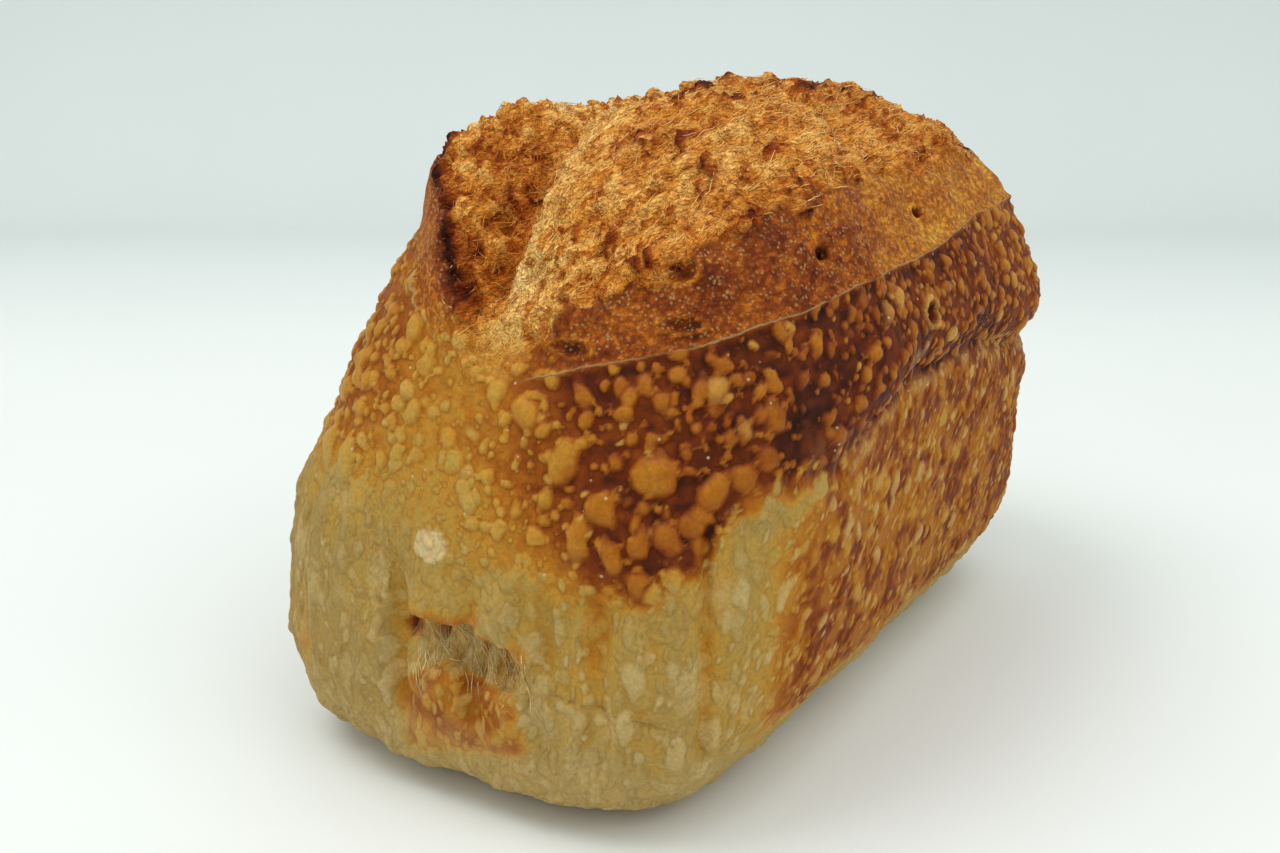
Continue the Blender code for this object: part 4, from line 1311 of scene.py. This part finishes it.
def crust_material():
    """Baked crust: colours from the surface's points, with grain, fibres and specks on top."""
    t = Tree("crust")
    place = t.add("ShaderNodeTexCoord").outputs["Object"]
    tint, top, kind, seam = [t.attribute(name) for name in ("tint", "top", "kind", "seam")]
    split = t.add("ShaderNodeSeparateColor", {"Color": kind.outputs["Color"]})
    torn, speckled, blistered = split.outputs[:3]
    gloss = kind.outputs["Alpha"]
    seam_parts = t.add("ShaderNodeSeparateColor", {"Color": seam.outputs["Color"]})
    seam_field, seam_presence, pad = seam_parts.outputs[:3]

    grain = t.noise(t.in_cells(place, 0.8), 4.0, 0.6)
    patches = t.noise(t.in_cells(place, 4.0), 3.0)
    small_patches = t.noise(t.in_cells(place, 1.4), 2.0)
    wavy = t.warped(place, 3.0, 1.0)
    fibre = t.noise(t.in_cells(wavy, 0.50, (1.0, 7.0, 1.0)), 2.0, 0.50)
    flecks = t.noise(t.in_cells(wavy, 2.2, (1.0, 2.6, 1.0)), 4.0, 0.6)
    thread = t.lines(t.in_cells(wavy, 1.2, (1.0, 8.0, 1.0)), THREAD_WIDTH)
    other_thread = t.lines(t.in_cells(wavy, 1.0, (1.0, 9.0, 1.0)), THREAD_WIDTH)
    hanging = t.noise(t.in_cells(wavy, 0.40, (1.0, 1.0, 7.0)), 3.0, 0.55)

    # Blisters: their tops, with the painted light on their domes, blend softly into the gaps
    wobble = t.times(t.math("SUBTRACT", small_patches, 0.5), 0.5)
    field = t.total(t.between(top.outputs["Alpha"], 0.0, 1.0, -1.0, 1.0), wobble)
    on_top = t.between(field, -0.25, 0.75, kind="SMOOTHSTEP")
    rim = t.times(t.between(field, -0.55, -0.10), t.between(field, 0.30, -0.10), t.opposite(torn))
    color = t.color_mix(on_top, tint.outputs["Color"], top.outputs["Color"])
    color = t.tinted(color, RIM_TINT, rim, t.between(gloss, 0.0, 1.0, 0.22, 0.45))
    color = t.shaded(color, t.between(grain, 0.3, 0.7, 0.82, 1.18))
    color = t.tinted(color, WARM_TINT, t.between(patches, 0.35, 0.65), 0.35)

    # Torn crumb: fine pale and dark fibres, and brown flecks
    color = t.tinted(color, FLECK_TINT, torn, t.between(flecks, 0.52, 0.60), 0.85)
    color = t.tinted(color, DARK_FIBRE_TINT, torn, t.between(fibre, 0.49, 0.38), 0.55)
    color = t.tinted(color, PALE_FIBRE_TINT, torn, t.between(fibre, 0.52, 0.62), 0.50)
    color = t.tinted(color, DARK_THREAD_TINT, torn, other_thread, 0.60)
    color = t.tinted(color, PALE_THREAD_TINT, torn, thread, 0.75)
    color = t.tinted(color, HANGING_TINT, pad, t.between(hanging, 0.48, 0.38), 0.6)

    # Specks and mottling of the smooth band, beads and white dots among the blisters
    mottle = t.noise(t.in_cells(wavy, 1.1, (1.0, 1.7, 1.0)), 3.0, 0.6)
    color = t.tinted(color, PALE_MOTTLE_TINT, speckled, t.between(mottle, 0.51, 0.62), 0.85)
    color = t.tinted(color, DARK_MOTTLE_TINT, speckled, t.between(mottle, 0.47, 0.36), 0.75)
    clustered = t.between(patches, 0.40, 0.55, 0.20, 1.0)
    tiny = t.math("MAXIMUM", t.spots(wavy, 0.9, 0.46, 0.7), t.spots(wavy, 1.7, 0.32, 0.5))
    dots = t.times(tiny, speckled, clustered)
    color = t.dotted(color, DOT_COLOR, dots, 0.50)
    beads = t.times(t.spots(place, 1.9, 0.34, 0.5), blistered, t.opposite(on_top))
    color = t.color_mix(t.times(beads, 0.75), color, top.outputs["Color"])
    white = t.times(t.spots(place, 3.6, 0.11, 0.35), blistered)
    color = t.dotted(color, WHITE_DOT_COLOR, white, 0.7)

    # Pale ridge of the seams
    from_seam = t.between(seam_field, 0.0, 1.0, -SEAM_REACH, SEAM_REACH)
    from_seam = t.math("ABSOLUTE", t.total(from_seam, wobble))
    line = t.times(t.between(from_seam, 0.34, 0.10), seam_presence)
    color = t.dotted(color, SEAM_COLOR, line, 0.60)

    # Roughness: torn crumb is the most matt, the tops of the shoulder's blisters shine a little
    rough = t.total(t.between(grain, 0.3, 0.7, 0.52, 0.74), t.times(torn, 0.12))
    rough = t.math("SUBTRACT", rough, t.times(gloss, on_top, 0.26))

    # Relief finer than the mesh, each kind with its own height
    heights = ((grain, 0.35), (torn, fibre), (torn, thread), (torn, other_thread, -0.7),
               (torn, flecks, 1.2), (pad, hanging, 1.5), (mottle, speckled, 0.9), (dots, 0.6),
               (beads, 0.9), (white, 0.3), (line, 0.8), (on_top, t.opposite(torn), 0.8))
    relief = t.total(*[t.times(*factors) for factors in heights])
    return t.finish(color, rough, CRUST_SPECULAR, relief, 0.9, 0.35)


def strand_material():
    """Fine torn fibres: each one's own colour, with a little grain along it."""
    t = Tree("torn_fibre")
    place = t.add("ShaderNodeTexCoord").outputs["Object"]
    grain = t.noise(t.in_cells(place, 0.5), 2.0)
    shade = t.between(grain, 0.3, 0.7, 0.78, 1.22)
    color = t.shaded(t.attribute("tint").outputs["Color"], shade)
    rough = t.between(grain, 0.3, 0.7, 0.55, 0.75)
    return t.finish(color, rough, CRUST_SPECULAR, grain, 0.4, 0.1)


def fit_to_box(points, low, high):
    """Points in metres, scaled and moved so that their box is the CAD node's box."""
    own_low, own_high = points.min(axis=0), points.max(axis=0)
    scale = (high - low) / (own_high - own_low)
    return low + (points - own_low) * scale


# Torn fibres that stand a little off the surface: rings along one, sides round it
STRAND_RINGS = 5
STRAND_SIDES = 3
LOWEST_STRAND = 96.0
STRAND_RADIUS = (0.04, 0.11)
STRAND_SEED = 201

# Strands of the burst, of the ear's wall and in the tear: how many, the way they run and how
# widely that scatters, the shortest and longest, their tone, their pale colour and its share
STRAND_KINDS = (
    (2000, (0.0, 1.0, 0.05), 0.15, (2.5, 8.0), 0.16, CRUMB_COLOR, 0.90),
    (900, (0.35, 0.5, 0.1), 0.75, (1.5, 5.0), 0.42, CRUMB_COLOR, 0.25),
    (130, (0.25, 0.0, -0.9), 0.20, (3.0, 8.0), 0.04, FLOUR_COLOR, 0.9),
)
STRAND_CURL = 0.18
STRAND_LIFT = 0.15
FREE_END_RISE = 1.2
FREE_END_RARITY = 8
ROOT_DEPTH = 0.12
STRAND_FLATNESS = 1.5
TAPER_TURNS = (0.25, math.pi - 0.12)
TAPER_POWER = 0.6


def lay_strands(tree, skin, roots, directions, lengths, random):
    """Centre lines of strands that follow the skin from their roots, a little above it."""
    lines = np.zeros((len(roots), STRAND_RINGS, 3))
    outs = np.zeros_like(lines)
    start = skin.placed[roots]
    curl = random.normal(0.0, STRAND_CURL, (len(roots), 3))
    lift = random.uniform(0.0, STRAND_LIFT, len(roots))
    free_end = random.uniform(0.0, 1.0, len(roots)) ** FREE_END_RARITY * FREE_END_RISE
    for ring, share in enumerate(np.linspace(0.0, 1.0, STRAND_RINGS)):
        aim = directions + curl * share
        places = start + aim * (lengths * share)[:, None]
        rises = lift * math.sin(math.pi * min(share * 1.15, 1.0)) + free_end * share ** 2
        if ring == 0:
            rises = rises - ROOT_DEPTH
        for strand, place in enumerate(places):
            spot, normal = tree.find_nearest(place)[:2]
            lines[strand, ring] = np.array(spot) + np.array(normal) * rises[strand]
            outs[strand, ring] = normal
    return lines, outs


def strand_mesh(lines, outs, radii):
    """Points and faces of tapered tubes along centre lines."""
    count = len(lines)
    tangent = np.gradient(lines, axis=1)
    tangent /= np.maximum(np.linalg.norm(tangent, axis=-1, keepdims=True), NO_LENGTH)
    side = np.cross(tangent, outs)
    side /= np.maximum(np.linalg.norm(side, axis=-1, keepdims=True), NO_LENGTH)
    over = np.cross(side, tangent)
    taper = np.sin(np.linspace(*TAPER_TURNS, STRAND_RINGS)) ** TAPER_POWER
    turns = np.arange(STRAND_SIDES) * 2.0 * np.pi / STRAND_SIDES
    reach = radii[:, None, None, None] * taper[None, :, None, None]
    ring = (side[:, :, None] * np.cos(turns)[:, None] * STRAND_FLATNESS
            + over[:, :, None] * np.sin(turns)[:, None])
    points = (lines[:, :, None] + ring * reach).reshape(-1, 3)
    numbers = np.arange(count * STRAND_RINGS * STRAND_SIDES)
    grid = numbers.reshape(count, STRAND_RINGS, STRAND_SIDES)
    ahead = np.roll(grid, -1, axis=2)
    tube = np.stack([grid[:, :-1], ahead[:, :-1], ahead[:, 1:], grid[:, 1:]], axis=-1)
    tube = tube.reshape(-1, 4)
    triangles = np.concatenate([tube[:, [0, 1, 2]], tube[:, [0, 2, 3]],
                                grid[:, 0, ::-1].reshape(-1, 3), grid[:, -1].reshape(-1, 3)])
    return points, triangles


def add_piece(name, mesh, material):
    """A piece that rides on the body, with its material."""
    mesh.materials.append(material)
    thing = bpy.data.objects.new(name, mesh)
    bpy.context.scene.collection.objects.link(thing)
    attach(thing, "root")
    return thing


def build_loaf():
    """The loaf itself, and its skin with every point placed in the part's own frame."""
    plain, points, faces, unwrap = build_grid()
    skin = Skin(plain, points, vertex_normals(points, faces))
    for change in (skin.raise_blisters, skin.wrinkle, skin.patch_front, skin.tear_crumb,
                   skin.finish_band, skin.draw_seams, skin.mark_crease, skin.place_features):
        change()
    low, high = np.array(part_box(NODE))
    placed = fit_to_box(skin.finished(), low, high)
    mesh = make_mesh("loaf_skin", placed, faces)
    base, tops = skin.colors()
    add_colors(mesh, "tint", with_alpha(base, 1.0))
    add_colors(mesh, "top", with_alpha(tops, (skin.field + 1.0) / 2.0))
    seam_field = skin.seam_field / (2.0 * SEAM_REACH) + 0.5
    seams = np.stack([seam_field, skin.seam_presence, skin.pad], axis=-1)
    add_colors(mesh, "seam", with_alpha(seams, 1.0))
    above_pale = skin.height - curve(PALE_LINE, skin.turn)
    blistered = skin.crust * smooth_step(-8.0, 8.0, above_pale)
    kinds = np.stack([skin.torn, np.maximum(skin.band, skin.strip), blistered], axis=-1)
    add_colors(mesh, "kind", with_alpha(kinds, skin.gloss))
    layer = mesh.uv_layers.new(name="OFBake")
    layer.data.foreach_set("uv", unwrap.astype(np.float32).ravel())
    loaf = add_piece("crusty_loaf", mesh, crust_material())
    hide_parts(NODE)
    skin.placed = placed / MM
    skin.faces = faces
    return skin


def build_strands(skin):
    """Fine torn fibres over the burst, down the ear's inner wall and in the tear."""
    random = np.random.default_rng(STRAND_SEED)
    tree = BVHTree.FromPolygons([Vector(p) for p in skin.placed], skin.faces.tolist())
    lines, outs, colors, radii = [], [], [], []
    across, along, height = skin.points.T
    pad = (window(TEAR_LEFT, TEAR_RIGHT, 5.0, across) * window(31.0, 43.0, 3.0, height)
           * (along < -92.0))
    high_up = height > LOWEST_STRAND
    chances = (skin.fibres * high_up, skin.ear_wall * high_up, pad)
    for chance, kind in zip(chances, STRAND_KINDS):
        count, direction, scatter, (shortest, longest), tone, pale, paleness = kind
        roots = random.choice(len(chance), count, p=chance / chance.sum())
        aims = np.array(direction) + random.normal(0.0, scatter, (count, 3))
        aims /= np.linalg.norm(aims, axis=1, keepdims=True)
        lengths = random.uniform(shortest, longest, count)
        line, out = lay_strands(tree, skin, roots, aims, lengths, random)
        lines.append(line)
        outs.append(out)
        radii.append(random.uniform(*STRAND_RADIUS, count))
        own = mix(np.clip(skin.tone[roots], 0.0, 1.0), tone, 0.5)
        own = own + random.normal(0.0, 0.09, count) - 0.03
        share = paleness * random.uniform(0.0, 1.0, count) ** 0.7
        own = baked_color(np.clip(own, 0.0, 0.95), TORN_COLORS)
        colors.append(mix(own, linear(pale), share[:, None]))
    lines, outs, colors, radii = [np.concatenate(a) for a in (lines, outs, colors, radii)]
    points, triangles = strand_mesh(lines, outs, radii)
    points = np.clip(points * MM, *np.array(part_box(NODE)))
    mesh = make_mesh("torn_fibres", points, triangles)
    each = STRAND_RINGS * STRAND_SIDES
    add_colors(mesh, "tint", with_alpha(np.repeat(colors, each, axis=0), 1.0))
    return add_piece("torn_fibres", mesh, strand_material())


# The stage: a pale floor that sweeps up into a backdrop behind the loaf, as the camera sees it
CAMERA_AZIMUTH = math.radians(31.4)
CAMERA_ELEVATION = math.radians(17.0)
CAMERA_DISTANCE = 368.8
CAMERA_TARGET = (-17.8, -1.9, 54.2)
SENSOR = 36.0
FOCAL_PIXELS = 1450.0
IMAGE_WIDTH = 1280.0
BRIGHT_DEPTH = 330.0
FLOOR_DEPTH = 640.0
FLOOR_TINT = np.array([0.855, 0.885, 0.868])
BACKDROP_TINT = np.array([0.725, 0.775, 0.765])
SWEEP_RADIUS = 160.0
WALL_HEIGHT = 1600.0
STAGE_WIDTH = 5000.0
STAGE_FRONT = -2600.0
SWEEP_STEPS = 16
CLOUD_SIZE = 180.0
STAGE_ROUGHNESS = 0.9

# Lights, in metres and watts: name, place, size, power and colour
LIGHT_AIM = (0.0, 0.0, 0.05)
AREA_LIGHTS = (
    ("left_key", (-0.34, -0.36, 1.05), 0.6, 4.0, (1.0, 0.995, 0.98)),
    ("right_key", (0.55, -0.12, 0.95), 0.8, 3.0, (1.0, 1.0, 0.99)),
)
SKY_COLOR = (0.95, 0.985, 0.97, 1.0)
SKY_STRENGTH = 0.75


def view_back():
    """Unit direction from the loaf to the camera."""
    return Vector((math.sin(CAMERA_AZIMUTH) * math.cos(CAMERA_ELEVATION),
                   -math.cos(CAMERA_AZIMUTH) * math.cos(CAMERA_ELEVATION),
                   math.sin(CAMERA_ELEVATION)))


def stage_material():
    """Matt pale board with faint unevenness."""
    t = Tree("stage_board")
    place = t.add("ShaderNodeTexCoord").outputs["Object"]
    cloud = t.noise(t.in_cells(place, CLOUD_SIZE), 2.0)
    shade = t.between(cloud, 0.3, 0.7, 0.99, 1.01)
    color = t.shaded(t.attribute("tint").outputs["Color"], shade)
    return t.finish(color, STAGE_ROUGHNESS, STAGE_SPECULAR)


def build_stage():
    """Floor, sweep and backdrop in one sheet, square to the camera."""
    profile = [(STAGE_FRONT, 0.0), (0.0, 0.0), (BRIGHT_DEPTH, 0.0), (FLOOR_DEPTH, 0.0)]
    for n in range(1, SWEEP_STEPS + 1):
        turn = n / SWEEP_STEPS * math.pi / 2.0
        profile.append((FLOOR_DEPTH + SWEEP_RADIUS * math.sin(turn),
                        SWEEP_RADIUS * (1.0 - math.cos(turn))))
    profile.append((FLOOR_DEPTH + SWEEP_RADIUS, WALL_HEIGHT))
    back = view_back()
    ahead = -Vector((back.x, back.y, 0.0)).normalized()
    side = Vector((-ahead.y, ahead.x, 0.0))
    points = []
    for depth, height in profile:
        for edge in (-0.5, 0.5):
            place = ahead * depth + side * (edge * STAGE_WIDTH)
            points.append((place.x * MM, place.y * MM, height * MM))
    faces = [(2 * n + 1, 2 * n, 2 * n + 2, 2 * n + 3) for n in range(len(profile) - 1)]
    mesh = make_mesh("stage", np.array(points), np.array(faces))
    tints = [FLOOR_TINT if depth <= BRIGHT_DEPTH else BACKDROP_TINT for depth, height in profile]
    add_colors(mesh, "tint", with_alpha(np.repeat(tints, 2, axis=0), 1.0))
    mesh.materials.append(stage_material())
    thing = bpy.data.objects.new("stage", mesh)
    bpy.context.scene.collection.objects.link(thing)


def area_light(name, place, size, power, color):
    """Soft square light, aimed at the loaf."""
    light = bpy.data.lights.new(name, "AREA")
    light.energy = power
    light.size = size
    light.color = color
    thing = bpy.data.objects.new(name, light)
    thing.location = place
    back = Vector(place) - Vector(LIGHT_AIM)
    thing.rotation_euler = back.to_track_quat("Z", "Y").to_euler()
    bpy.context.scene.collection.objects.link(thing)


def build_lights():
    """Soft light from above left and above right, and a pale sky all round."""
    for settings in AREA_LIGHTS:
        area_light(*settings)
    world = bpy.data.worlds.new("studio")
    world.use_nodes = True
    background = world.node_tree.nodes["Background"]
    background.inputs["Color"].default_value = SKY_COLOR
    background.inputs["Strength"].default_value = SKY_STRENGTH
    bpy.context.scene.world = world


def build_camera():
    """Camera at the photo's place, with its lens."""
    camera = bpy.data.cameras.new("camera")
    camera.sensor_width = SENSOR
    camera.lens = FOCAL_PIXELS / IMAGE_WIDTH * SENSOR
    camera.clip_start = 0.01
    thing = bpy.data.objects.new("camera", camera)
    bpy.context.scene.collection.objects.link(thing)
    back = view_back()
    thing.location = (Vector(CAMERA_TARGET) + back * CAMERA_DISTANCE) * MM
    thing.rotation_euler = back.to_track_quat("Z", "Y").to_euler()
    bpy.context.scene.camera = thing
    bpy.context.scene.view_settings.view_transform = "Standard"


loaf_skin = build_loaf()
build_strands(loaf_skin)
build_stage()
build_lights()
build_camera()
